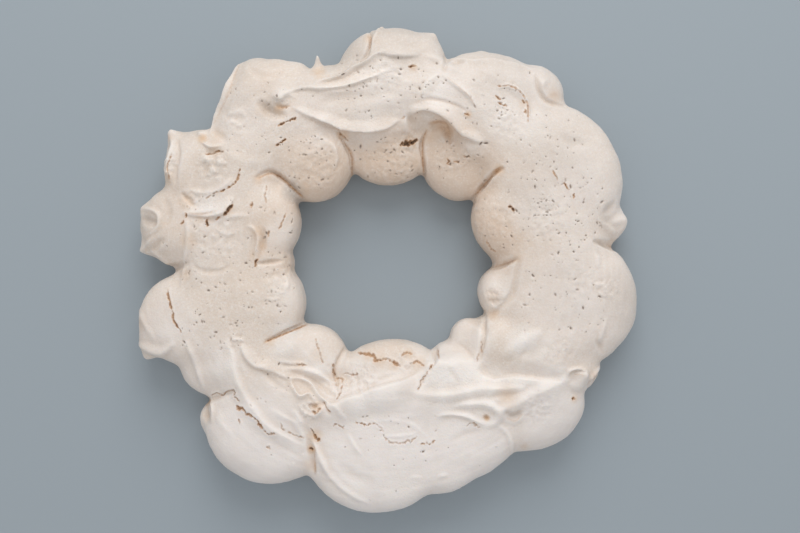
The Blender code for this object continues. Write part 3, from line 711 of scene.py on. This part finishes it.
CREASE_BROWN_AND_SHADE = [  # path, width and strength of the brown in the creases between the spoonfuls: partly their own browning, partly painted shade in the creases, under the lip and in the hollow under the tongue
    ([-49.5, 42.5, -55.5, 48, -62, 54, -67, 56.5], 1.8, 0.8),
    ([-65, 56.5, -69.5, 56, -76, 53], 1.8, 0.5),
    ([-48, -33.5, -59.5, -38, -71.5, -43], 1.5, 0.9),
    ([53, 44, 60, 52, 64, 56.5], 1.3, 0.65),
    ([63.5, 56, 66, 58.5, 68, 59.5], 3.2, 0.7),
    ([-21, 56, -20.5, 65, -22, 70, -25.5, 75.5], 1.2, 0.6),
    ([22.5, 57, 21.5, 66, 21.5, 76, 24, 83], 1.2, 0.6),
    ([64, 1, 70.5, 3, 76.5, 5.5], 1.6, 0.4),
    ([-42, -121, -42, -113], 2, 0.5),
    ([-42, -113, -42.5, -106], 1.2, 0.3),
    ([24.5, 86, 30.5, 87, 35.5, 85.5, 37.5, 79, 37.5, 75], 2.4, 0.4),
    ([31, 85, 35.5, 82.5, 36, 78], 4.5, 0.35),
    ([-87.5, 123, -90.5, 114.5, -93.5, 104, -97.5, 95.5, -102.5, 85.5], 1.2, 0.2),
    ([-50, 89.5, -38.5, 85, -27, 81.5], 1.2, 0.25),
    ([17.5, 98, 25.5, 99, 34, 98, 43, 95, 51, 89], 1, 0.16),
    ([35.5, 112.5, 43, 106, 49, 100, 52.5, 93.5], 1.1, 0.25),
    ([-64, 95, -61, 94.5, -57, 95.5], 2.6, 0.55),
    ([-73.5, 22.5, -72, 16.5, -74, 9, -75.5, 4], 1.8, 0.15),
    ([-116, 32.5, -107, 32.5, -98, 34.5], 1.2, 0.35),
    ([-37.5, -57, -31.5, -57, -31, -65.5], 1.4, 0.3),
    ([139, 12, 132, 14.5], 2.2, 0.3),
    ([-107.5, -79.5, -106.5, -79], 3.6, 0.7),
    ([95.5, 101.5, 100, 104, 102, 102.5], 2.2, 0.2),
    ([70, -87, 75.5, -89, 80.5, -84.5], 1.4, 0.25),
    ([107.5, -63.5, 112.5, -62, 117.5, -63], 1, 0.25),
    ([-12, 139.5, -9.5, 136, -10.5, 130.5], 2.4, 0.25),
    ([121, -60, 124, -65, 123, -72], 1.4, 0.25),
]
CRACK_WANDER = 0.3  # how far a crack strays to either side
CRACK_STEPS = 4
CRACK_SCALE = 0.42
CRACK_REACH = 3
CRACK_ENDS = 0.4  # how open it still is at its ends
CRACK_SHALLOWEST = 0.3
CRACK_SIDES = 0.8  # how steep its sides are: 1 is a plain V, less is steeper
CRACK_LIFT = 0.2  # how far its edges curl up
CRACK_EDGE = (0.7, 0.5)  # how far outside the crack the curl sits, and how wide it is
CRACK_BLEED = 0.55  # how far the brown reaches past its edges
BROWNED_LEAST = 0.4  # even a closed crack is browned this much, and one that gapes is darker, partly painted shade in its opening
BROWNED_BY_GAPE = 0.75
BROWNED_MOST = 1.1
GAPE = 0.8  # how far a crack gapes on the average
GAPE_LIMITS = (0.1, 1.5)
UNEVEN = 2.0  # how unevenly a long crack gapes
UNEVEN_FROM = 10  # the length from which a crack is a long one
UNEVEN_LENGTH = 1.5
STAIN_FACING = -0.3  # stains lie only on what faces further up than this
STAIN_ENDS = (0.3, 3)  # strength at the ends of a stain, and the length over which it grows in

PORES = [
    (4, 122), (7, 123.5), (-3.5, 122.5), (-6.5, 120), (-9.5, 119), (8.5, 117), (-16.5, 115.5),
    (6, 114), (3.5, 111.5), (-5.5, 110), (-13.5, 109), (-13.5, 106.5), (-16, 105.5), (1, 104.5),
    (-8.5, 102), (8.5, 101.5), (-1.5, 101), (-18.5, 100), (-43, 101), (-49.5, 105), (-45, 95.5),
    (-42.5, 92.5), (-23.5, 93), (19.5, 105.5), (15, 107.5), (11, 89.5), (-5.5, 75), (0.5, 74.5),
    (5, 78), (5, 70), (-12, 70), (-19, 70.5), (-15.5, 72.5), (-83.5, 106), (-81.5, 121),
    (-68.5, 87), (-64.5, 88.5), (-76.5, 88.5), (-66, 81), (-70.5, 76), (-76, 73), (85, 116.5),
    (30.5, 112.5), (33.5, 109), (51.5, 96), (62.5, 100.5), (60, 102.5), (74, 92), (66, 88),
    (53, 85), (50.5, 85.5), (61.5, 83.5), (86, 41), (87.5, 26.5), (88.5, 19.5), (112.5, 28),
    (89, 31.5), (79, 53), (88, 52), (100.5, 76), (100.5, 71.5), (91.5, 61), (112, 60), (-88, 6),
    (-83.5, -8), (-111.5, -3), (-98, 11.5), (-97, 9.5), (-131, 20.5), (-132, 15.5), (-129.5, 13.5),
    (-70, -104.5), (-63, -109.5), (-67.5, -109), (-86.5, -88.5), (56, -75), (110.5, -77), (19, 117),
]
PORE_FIELDS = [  # left, right, near and far edge of a field of pores, and how many it has
    (-30, 30, 88, 126, 70),
    (78, 128, -38, 62, 170),
    (86, 98, 28, 44, 26),
    (66, 120, 62, 96, 40),
    (-122, -78, -48, 44, 120),
    (-62, -26, 46, 80, 50),
    (-94, -58, 66, 112, 34),
    (-76, -54, -34, 40, 60),
    (-18, 20, 54, 66, 20),
    (28, 60, 52, 78, 34),
    (34, 76, 84, 116, 30),
    (56, 78, 6, 50, 24),
    (-8, 12, 68, 78, 16),
    (-30, 40, -110, -84, 22),
    (-80, -40, -80, -50, 14),
    (-30, 60, -140, -105, 12),
]
PORE_SIZES = (0.17, 0.56)
PORE_STRETCH = (1, 2.4)
PORE_STRENGTH = (0.35, 1)
PORE_DEPTH = 0.9
PORE_REACH = 2
PORE_FACING = 0.3  # pores open only in what faces further up than this
PORE_SEED = 41

ROUGH = [  # x, y, reach and height of the patches where the skin came out lumpy
    (-102, 60.5, 12, 0.7), (13, 75, 7, 0.9), (64, -16.5, 8, 0.7), (130, -11.5, 9, 0.6),
    (-87.5, -42, 6, 0.8), (-29, -70.5, 8, 0.8), (88, -81.5, 12, 0.5), (-44.5, -82, 8, 0.9),
    (-129.5, 61, 8, 0.8), (39.5, 69, 18, 0.4), (-40.5, 62.5, 22, 0.4), (4, 61.5, 20, 0.4),
    (-100, 17.5, 20, 0.4), (70, 87.5, 14, 0.4), (93.5, 31, 16, 0.4), (-1.5, 114, 16, 0.4),
    (-115, 41, 10, 0.6), (-14.5, -65, 12, 0.7), (101.5, -48.5, 12, 0.4), (-87.5, 87.5, 12, 0.4),
    (12, -54, 10, 0.6), (115, -7.5, 14, 0.4), (-59, -5, 16, 0.35), (64.5, 29.5, 20, 0.3),
]
ROUGH_SIZE = 3.0
FINER = 2.2  # how much finer the second layer of lumps is
FAINTER = 0.6  # and how much fainter

rng = np.random.default_rng(PORE_SEED)
places = places_of(wreath)
normals = normals_of(wreath)
browned = np.zeros(len(places))
pitted = np.zeros(len(places))
detailed = np.zeros(len(places), dtype=bool)

bearing = np.arctan2(places[:, 1], places[:, 0]) * RING_RADIUS / RIPPLE_ALONG
radius = np.hypot(places[:, 0], places[:, 1]) / RIPPLE_ACROSS
ripple = np.array([noise.noise((r, b, 3.1)) for r, b in zip(radius, bearing)])
ripple *= np.clip((places[:, 2] - RIPPLED_FROM) / RIPPLED_OVER, 0, 1)
places += (RIPPLE_HEIGHT * ripple)[:, None] * normals

for x, y, reach, height in ROUGH:
    off = np.hypot(places[:, 0] - x, places[:, 1] - y) / reach
    near = np.where((off < 1) & (normals[:, 2] > 0))[0]
    lumps = np.array([noise.noise(Vector(place) / ROUGH_SIZE)
                      + FAINTER * noise.noise(Vector(place) / ROUGH_SIZE * FINER)
                      for place in places[near]])
    lumps *= np.clip(2 - 2 * off[near], 0, 1)
    places[near] += (height * lumps)[:, None] * normals[near]

for crack in [Crack(*row) for row in CRACKS]:
    wandering = curve_through(np.reshape(crack.path, (-1, 2)), CRACK_STEPS)
    wandering[1:-1] += rng.normal(0, CRACK_WANDER, wandering[1:-1].shape)
    near, off, _, along, length, _ = lay_along(wandering, 1, places, CRACK_REACH)
    upward = normals[near, 2] > 0
    taper = np.clip(CRACK_ENDS + np.minimum(along, length - along) / crack.width, 0, 1)
    uneven = UNEVEN * min(length / UNEVEN_FROM, 1)
    gape = [GAPE + uneven * noise.noise((walk / UNEVEN_LENGTH, crack.width * 9, 2.5))
            for walk in along]
    gape = np.clip(gape, *GAPE_LIMITS)
    half = CRACK_SCALE * 0.5 * crack.width * taper * gape
    inside = np.clip(1 - off / (half + 0.2), 0, 1) ** CRACK_SIDES * upward
    lifted = np.exp(-((off - half - CRACK_EDGE[0]) / CRACK_EDGE[1]) ** 2) * taper * upward
    deep = CRACK_SHALLOWEST + (1 - CRACK_SHALLOWEST) * taper
    amount = CRACK_LIFT * lifted - crack.depth * deep * inside
    places[near] += amount[:, None] * normals[near]
    # The brown inside a crack, darker as it gapes: partly caramel, partly painted shade in its
    # opening.
    tint = np.clip((half + CRACK_BLEED - off) / CRACK_BLEED, 0, 1) * crack.browned * upward
    tint *= np.clip(BROWNED_LEAST + BROWNED_BY_GAPE * gape, 0, BROWNED_MOST)
    browned[near] = np.maximum(browned[near], tint)
    detailed[near[(off < half + 1) & upward]] = True

# Brown along the creases: partly the mix's own browning, partly painted shade in the creases and
# hollows.
for path, width, strength in CREASE_BROWN_AND_SHADE:
    near, off, _, along, length, _ = lay_along(path, STROKE_STEPS, places, width)
    ends = np.clip(STAIN_ENDS[0] + np.minimum(along, length - along) / STAIN_ENDS[1], 0, 1)
    tint = np.clip(1 - 2 * off / width, 0, 1) ** CRACK_SIDES * ends * strength
    browned[near] = np.maximum(browned[near], tint * (normals[near, 2] > STAIN_FACING))

pores = list(PORES)
for left, right, low, high, count in PORE_FIELDS:
    pores += list(zip(rng.uniform(left, right, count), rng.uniform(low, high, count)))
for x, y in pores:
    size = PORE_SIZES[0] + (PORE_SIZES[1] - PORE_SIZES[0]) * rng.random() ** 2
    turn = rng.uniform(0, math.pi)
    dash = size * rng.uniform(*PORE_STRETCH)
    dx = places[:, 0] - x
    dy = places[:, 1] - y
    close = (np.abs(dx) < PORE_REACH) & (np.abs(dy) < PORE_REACH)
    near = np.where(close & (normals[:, 2] > PORE_FACING))[0]
    along = dx[near] * math.cos(turn) + dy[near] * math.sin(turn)
    across = dy[near] * math.cos(turn) - dx[near] * math.sin(turn)
    off = np.hypot(along / dash, across / size)
    inside = np.clip(1.5 - off, 0, 1) * rng.uniform(*PORE_STRENGTH)
    places[near] -= (PORE_DEPTH * inside)[:, None] * normals[near]
    pitted[near] = np.maximum(pitted[near], inside)
    detailed[near[off < 2]] = True


OWN_SHARE = 0.3  # how much of its own place a vertex keeps in one pass
NEIGHBOURS_SHARE = 0.7
STANDING_PASSES = 30


def smoothed(places, piece, passes):
    """The places after that many passes of evening out with their neighbours."""
    edges = np.empty(len(piece.data.edges) * 2, dtype=int)
    piece.data.edges.foreach_get("vertices", edges)
    one, other = edges.reshape(-1, 2).T
    count = np.bincount(edges, minlength=len(places))[:, None]
    for _ in range(passes):
        total = np.stack([np.bincount(one, places[other, axis], len(places))
                          + np.bincount(other, places[one, axis], len(places))
                          for axis in range(3)], axis=1)
        places = OWN_SHARE * places + NEIGHBOURS_SHARE * total / count
    return places


# How far each place stands out from its surroundings, or lies below them. The colour follows it: a
# painted highlight on what stands out and painted shade in what lies below.
standing = ((places - smoothed(places, wreath, STANDING_PASSES)) * normals).sum(axis=1)
move_to(wreath, places)

TOASTED_AND_SHADED = [  # x, y, reach and strength of the patches where the oven has toasted the skin; some of them, below the lip, in the hollow under the tongue and beside the knob and the creases, are painted shade
    (-27, 79, 3, 0.6), (-45.5, -116, 5, 0.3), (31.5, 84, 7, 0.5), (36.5, 82, 5, 0.55),
    (25, 79, 5, 0.3), (-117.5, 40, 6, 0.4), (-74.5, 21.5, 5, 0.4), (-73, 14.5, 4.5, 0.35),
    (-78, 8, 4, 0.3), (-108.5, 77, 3.5, 0.9), (-69.5, 55, 4, 0.4), (-75, 52.5, 4, 0.5),
    (-24.5, 79, 3.5, 0.6), (66, 58, 4, 0.6), (48, 90.5, 2.6, 0.7), (80, 96.5, 3, 0.3),
    (59, -87.5, 2.2, 1), (58.5, -86.5, 3.5, 0.4), (111.5, -77, 3, 0.5), (-108, -80, 4, 0.8),
    (-107.5, -88, 5, 0.25), (-44, -106, 3.4, 0.9), (-42, -98, 5, 0.7), (-101, 69.5, 5, 0.3),
    (-63, 94, 4, 0.7), (-71, 93.5, 7, 0.25), (-109, 30, 4, 0.4), (-104, 29.5, 4, 0.3),
    (14, 75.5, 5, 0.5), (-4, -54, 5, 0.5), (4, -57, 4, 0.4), (-11, -51.5, 4, 0.4),
    (13, -50.5, 4, 0.5), (19, -56, 5, 0.4), (77.5, 6, 4, 0.3), (70.5, -74, 8, 0.35),
    (16, 118, 3, 0.5), (-40.5, -80.5, 4, 0.6), (-92, 34, 4, 0.3), (-40, 116, 5, 0.5),
    (-68.5, -42.5, 4, 0.5), (-60.5, -38.5, 4, 0.3), (-10.5, 137, 4, 0.4), (-99.5, 78, 6, 0.3),
    (-129.5, 54, 5, 0.4), (-129, 78, 3, 0.4), (99.5, 102.5, 6, 0.3), (-116, 16.5, 6, 0.3),
    (-118.5, -3, 5, 0.3), (-31, -62.5, 4, 0.4), (-28, -65.5, 4, 0.3), (137, 15, 4, 0.35),
    (-148.5, -33, 6, 0.3), (17, 90, 5, 0.3), (124.5, -64, 4, 0.3), (63.5, -16, 6, 0.3),
    (63.5, -27, 4, 0.5), (18, 63.5, 6, 0.3), (82, -105.5, 3, 0.4), (-40.5, -51.5, 6, 0.3),
    (-52, -57, 5, 0.25), (-49, 47, 5, 0.3),
]
WARMED_AND_SHADED = [  # broad patches of a warmer cream, partly a warmer baked tone and partly painted shade on the inner spoonfuls and slopes that face away from the window
    (105, -9.5, 44, 0.35), (-9.5, -77.5, 16, 0.3), (58.5, 105, 40, 0.1), (-37, 53, 34, 1.2),
    (0, 61.5, 30, 1.3), (39.5, 56.5, 36, 1.5), (57.5, 18, 30, 1.4), (-55.5, 18, 28, 1.2),
    (-53, -14, 22, 0.5), (-139.5, -29.5, 20, 0.4), (-120.5, 34, 30, 0.4), (61.5, -10, 14, 0.5),
    (-60, 95, 10, 0.5), (98.5, 102.5, 9, 0.4), (-72, 113, 18, 0.4), (85.5, 46.5, 34, 0.55),
    (84, 4, 26, 0.4), (-81.5, 13.5, 30, 0.3), (2, -53, 30, 0.4), (-37.5, -55.5, 22, 0.3),
    (48, -38, 12, 0.4), (-29, -81.5, 22, 0.3), (70.5, -74, 10, 0.5), (-49, -65.5, 12, 0.4),
]
PALED_AND_LIT = [  # and of a cooler, paler one, partly paler skin and partly painted light: the cool fill on the near side
    (0, -109, 60, 1.6), (45, -99.5, 45, 1.6), (-74, -104, 44, 1.5), (98, -86, 36, 1.3),
    (0, -138, 40, 1.7), (51, -114.5, 30, 1.5), (20, 138, 20, 0.2), (39.5, -51.5, 26, 0.6),
    (-46.5, -51.5, 20, 0.5), (67, -14, 12, 0.3), (115, -19.5, 50, 0.7), (109, 48.5, 44, 0.6),
    (82.5, 107.5, 46, 0.6), (39, 109, 30, 0.6), (0, 105, 30, 0.5), (-38.5, 91, 26, 0.4),
    (-83.5, 89.5, 24, 0.4), (-128.5, -35, 24, 0.7), (-101.5, -60.5, 30, 0.6), (-104.5, 35, 22, 0.5),
    (-109, 11.5, 20, 0.3), (139, 40, 26, 0.6), (-127.5, 64.5, 16, 0.4),
]
WHITENED_AND_LIT = [  # and small ones of near white, partly skin that stayed white, partly painted highlights on ridges and painted light where the shape lies in shade
    # On the far side, above and below the lip.
    (-12, 79, 11, 0.5), (-12, 86, 10, 0.5), (-39, 76, 7, 0.3), (52, 74, 10, 0.5), (15, 92, 7, 0.4),
    (-60, 104.5, 9, 0.6), (-3.5, 116, 14, 0.4), (30.5, 105, 12, 0.7), (54.5, 97, 14, 0.3),
    (70, 87.5, 16, 0.5), (84, 81.5, 16, 0.5),
    # On the left and on the inner edge.
    (-104, 36, 11, 0.8), (-88.5, 15.5, 14, 0.3), (-60, 20, 15, 0.7), (-57, -16, 16, 0.6),
    (-58, -37, 10, 0.8), (-62, -48, 11, 0.6), (-47.5, -49.5, 8, 0.3), (-39.5, -59, 12, 1),
    (-93, -56, 12, 0.7), (-20, -56, 10, 0.6), (20, -49.5, 12, 0.4), (5, -68.5, 12, 0.5),
    (-5.5, -72, 8, 0.5), (-13, -83.5, 13, 0.8),
    # On the right and along the near crest.
    (89.5, 35, 18, 0.4), (114, 12, 18, 0.25), (63.5, -11, 12, 0.5), (52, -42, 13, 0.5),
    (80, -43, 11, 1.1), (90, -47, 14, 0.4), (35.5, -65, 20, 1.2), (51, -65.5, 16, 1.2),
    (64.5, -66, 12, 0.8), (78, -65, 12, 0.8), (100, -65.5, 12, 0.8), (58, -82, 14, 0.9),
    (41, -85.5, 9, 0.5), (12, -130, 16, 0.6), (38, -127, 10, 0.6), (-20, -128, 12, 0.5),
]
PAINTED_SHADE = [  # and greyish ones of painted shade
    # Along the far rim.
    (10, 146, 30, 0.75), (-22, 133, 18, 0.6), (-30, 124, 14, 0.6), (-16.5, 127.5, 14, 0.6),
    (39.5, 122, 20, 0.3), (69.5, 127, 34, 0.5), (98, 120, 24, 0.38), (-48.5, 111, 14, 0.3),
    (-62, 110, 18, 0.25), (-79, 125, 22, 0.38), (-98, 98.5, 20, 0.3), (-84, 105, 18, 0.25),
    # Round the lip and on the inner spoonfuls below it.
    (-68.5, 94, 9, 0.9), (-69.5, 103, 14, 0.22), (-10, 93, 14, 0.15), (58.5, 89.5, 30, 0.15),
    (14, 71.5, 10, 0.25), (33.5, 78, 7, 0.3), (-38, 60, 16, 0.2), (-55, 46, 8, 1.2),
    (36, 60, 24, 0.25),
    # On the left.
    (-121, 81.5, 14, 0.38), (-102, 61, 16, 0.2), (-130, 38, 12, 0.3), (-142.5, 27.5, 7, 0.52),
    (-119, -9, 10, 0.3), (-125, -19.5, 16, 0.15), (-106, -86.5, 6, 0.38), (-94, -110, 18, 0.15),
    (-65, -96, 16, 0.15), (-48.5, -79.5, 6, 0.3),
    # On the right and along the near crest.
    (98, 64, 28, 0.35), (105.5, 82, 22, 0.41), (82, 43, 22, 0.32), (131, 32.5, 6, 0.22),
    (107, -11.5, 24, 0.19), (139, -15.5, 20, 0.52), (74, -52.5, 16, 0.22), (111.5, -62.5, 6, 0.3),
    (12, -71, 8, 0.3), (25.5, -74.5, 10, 0.3), (41, -75.5, 10, 0.3), (54.5, -74.5, 8, 0.22),
    (74.5, -85.5, 7, 0.38), (64, -93, 14, 0.15), (104, -86.5, 22, 0.19),
]


PATCH_EDGE = 0.7  # how softly a patch fades: 1 is a cone, 0 has a hard edge


def patches(listed):
    """How strongly each place is coloured: the strongest of the patches it lies in."""
    values = np.zeros(len(places))
    for x, y, reach, strength in listed:
        off = np.hypot(places[:, 0] - x, places[:, 1] - y) / reach
        values = np.maximum(values, strength * np.clip(1 - off, 0, 1) ** PATCH_EDGE)
    return values


layers = (
    ("browned", browned),
    ("pitted", pitted),
    ("toasted_and_shaded", patches(TOASTED_AND_SHADED)),
    ("warmed_and_shaded", patches(WARMED_AND_SHADED)),
    ("paled_and_lit", patches(PALED_AND_LIT)),
    ("whitened_and_lit", patches(WHITENED_AND_LIT)),
    ("painted_shade", patches(PAINTED_SHADE)),
    ("standing", standing),
)
for name, values in layers:
    layer = wreath.data.attributes.new(name, "FLOAT", "POINT")
    layer.data.foreach_set("value", values.astype(np.float32))

SKIN_TRIANGLES = 194000
DETAIL_WEIGHT = 100  # how much longer the triangles round cracks and pores are kept
detail = wreath.vertex_groups.new(name="detail")
detail.add(np.where(detailed)[0].tolist(), 1.0, "REPLACE")
cut_off_below(wreath, 0)
triangles = sum(len(face.vertices) - 2 for face in wreath.data.polygons)
finish_with(wreath, "DECIMATE", ratio=SKIN_TRIANGLES / triangles, use_collapse_triangulate=True,
            vertex_group="detail", invert_vertex_group=True, vertex_group_factor=DETAIL_WEIGHT)
bpy.ops.object.shade_smooth()


# ---- The baked meringue ------------------------------------------------------------------------
# Matt, dry and slightly see-through at its edges. It is nearly white on the crests, a painted
# highlight, and a warm cream in the hollows, painted shade and partly a warmer baked tone. It is
# toasted gold in a few patches, some of them painted shade, and caramel brown inside the cracks,
# darkest where painted shade lies in their depth.

meringue = bpy.data.materials.new("meringue")
meringue.use_nodes = True
nodes = meringue.node_tree.nodes
links = meringue.node_tree.links
shader = nodes["Principled BSDF"]


def node(kind, **settings):
    made = nodes.new(kind)
    for name, value in settings.items():
        setattr(made, name, value)
    return made


def attribute(name):
    return node("ShaderNodeAttribute", attribute_name=name).outputs["Fac"]


def mixed(fac, one, other):
    """One colour turning into the other as the value goes from 0 to 1."""
    made = node("ShaderNodeMix", data_type="RGBA")
    links.new(fac, made.inputs["Factor"])
    for socket, value in (("A", one), ("B", other)):
        target = [s for s in made.inputs if s.name == socket and s.type == "RGBA"][0]
        if isinstance(value, tuple):
            target.default_value = (*value, 1)
        else:
            links.new(value, target)
    return [s for s in made.outputs if s.type == "RGBA"][0]


def fitted(fac, low, high, to_low=0.0, to_high=1.0):
    """Goes from to_low to to_high while the value goes from low to high."""
    made = node("ShaderNodeMapRange")
    links.new(fac, made.inputs["Value"])
    made.inputs["From Min"].default_value = low
    made.inputs["From Max"].default_value = high
    made.inputs["To Min"].default_value = to_low
    made.inputs["To Max"].default_value = to_high
    return made.outputs["Result"]


where = node("ShaderNodeTexCoord").outputs["Object"]


def cloud(scale, detail=2.0, roughness=0.5):
    made = node("ShaderNodeTexNoise")
    made.inputs["Scale"].default_value = scale
    made.inputs["Detail"].default_value = detail
    made.inputs["Roughness"].default_value = roughness
    links.new(where, made.inputs["Vector"])
    return made.outputs["Fac"]


# A darker, warmer cream: random flecks, and painted shade in the hollows.
HOLLOW = (0.66, 0.55, 0.455)
CREAM = (0.765, 0.682, 0.612)
# A paler cream: random flecks, and a painted highlight on the crests.
CREST = (0.86, 0.82, 0.785)
PATCH_WARM = (0.725, 0.62, 0.53)
# The warmer cream, partly painted shade.
WARM = (0.68, 0.525, 0.405)
# The cooler pale cream, partly painted light.
PALE = (0.85, 0.806, 0.785)
# Near white, partly painted highlights and painted light.
WHITE = (0.90, 0.86, 0.83)
# Toasted gold, partly painted shade.
TOAST = (0.66, 0.42, 0.22)
CARAMEL = (0.36, 0.17, 0.07)
AMBER = (0.64, 0.41, 0.24)
# The darkest inside the cracks: partly painted shade in their depth, partly dark caramel.
DARK_BROWN_AND_SHADE = (0.11, 0.06, 0.035)
# Near-black brown of the pores, partly painted shade inside them and partly their own brown.
PIT = (0.15, 0.10, 0.075)
# The grey of the painted shade.
SHADE_GREY = (0.55, 0.49, 0.44)
SKIN_ROUGHNESS = 0.5
GLOW = 0.15  # how much of the light goes into the skin
GLOW_RADIUS = (1.0, 0.8, 0.6)
GLOW_DEPTH = 0.002
BUMP_DEPTH = 0.0006

# Its colours from the first to the last: what a colour follows, from where to where it grows in,
# how much of it there is at the most, and the colour itself.
crumb = mixed(fitted(cloud(700.0), 0.35, 0.65), CARAMEL, AMBER)
body = CREAM
for follows, low, high, most, colour in (
    (cloud(26.0), 0.42, 0.72, 0.5, PATCH_WARM),
    (cloud(760.0), 0.52, 0.72, 0.6, CREST),
    # Warmer cream, partly painted shade.
    (attribute("warmed_and_shaded"), 0.0, 1.0, 0.8, WARM),
    (cloud(900.0, 3.0), 0.48, 0.28, 0.55, HOLLOW),
    # Paler cream, partly painted light on the near side.
    (attribute("paled_and_lit"), 0.0, 1.0, 1.0, PALE),
    # Near white, partly painted highlights and painted light.
    (attribute("whitened_and_lit"), 0.0, 1.0, 1.0, WHITE),
    # Painted shade in the hollows, partly a warmer baked tone, and a painted highlight on the
    # crests.
    (attribute("standing"), 0.1, -1.2, 1.0, HOLLOW),
    (attribute("standing"), 0.0, 1.0, 0.75, CREST),
    # Painted shade in broad greyish patches.
    (attribute("painted_shade"), 0.0, 1.0, 1.0, SHADE_GREY),
    (cloud(840.0), 0.52, 0.72, 0.3, CREST),
    # Toasted gold, partly painted shade.
    (attribute("toasted_and_shaded"), 0.0, 1.0, 0.8, TOAST),
    # Dark in the pores, partly painted shade inside them.
    (attribute("pitted"), 0.1, 1.0, 0.85, PIT),
    # Caramel brown in cracks and creases; the darkest of it is painted shade in their depth.
    (attribute("browned"), 0.0, 0.6, 0.85, crumb),
    (attribute("browned"), 0.6, 1.0, 0.8, DARK_BROWN_AND_SHADE),
):
    body = mixed(fitted(follows, low, high, 0.0, most), body, colour)
links.new(body, shader.inputs["Base Color"])
shader.inputs["Roughness"].default_value = SKIN_ROUGHNESS
shader.inputs["Subsurface Weight"].default_value = GLOW
shader.inputs["Subsurface Radius"].default_value = GLOW_RADIUS
shader.inputs["Subsurface Scale"].default_value = GLOW_DEPTH

bump = node("ShaderNodeBump")
links.new(fitted(attribute("whitened_and_lit"), 0.0, 1.0, 0.4, 0.8), bump.inputs["Strength"])
bump.inputs["Distance"].default_value = BUMP_DEPTH
links.new(cloud(900.0, 3.0, 0.6), bump.inputs["Height"])
links.new(bump.outputs["Normal"], shader.inputs["Normal"])
wreath.data.materials.clear()
wreath.data.materials.append(meringue)

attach(wreath, "root")
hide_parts("meringue_ring")
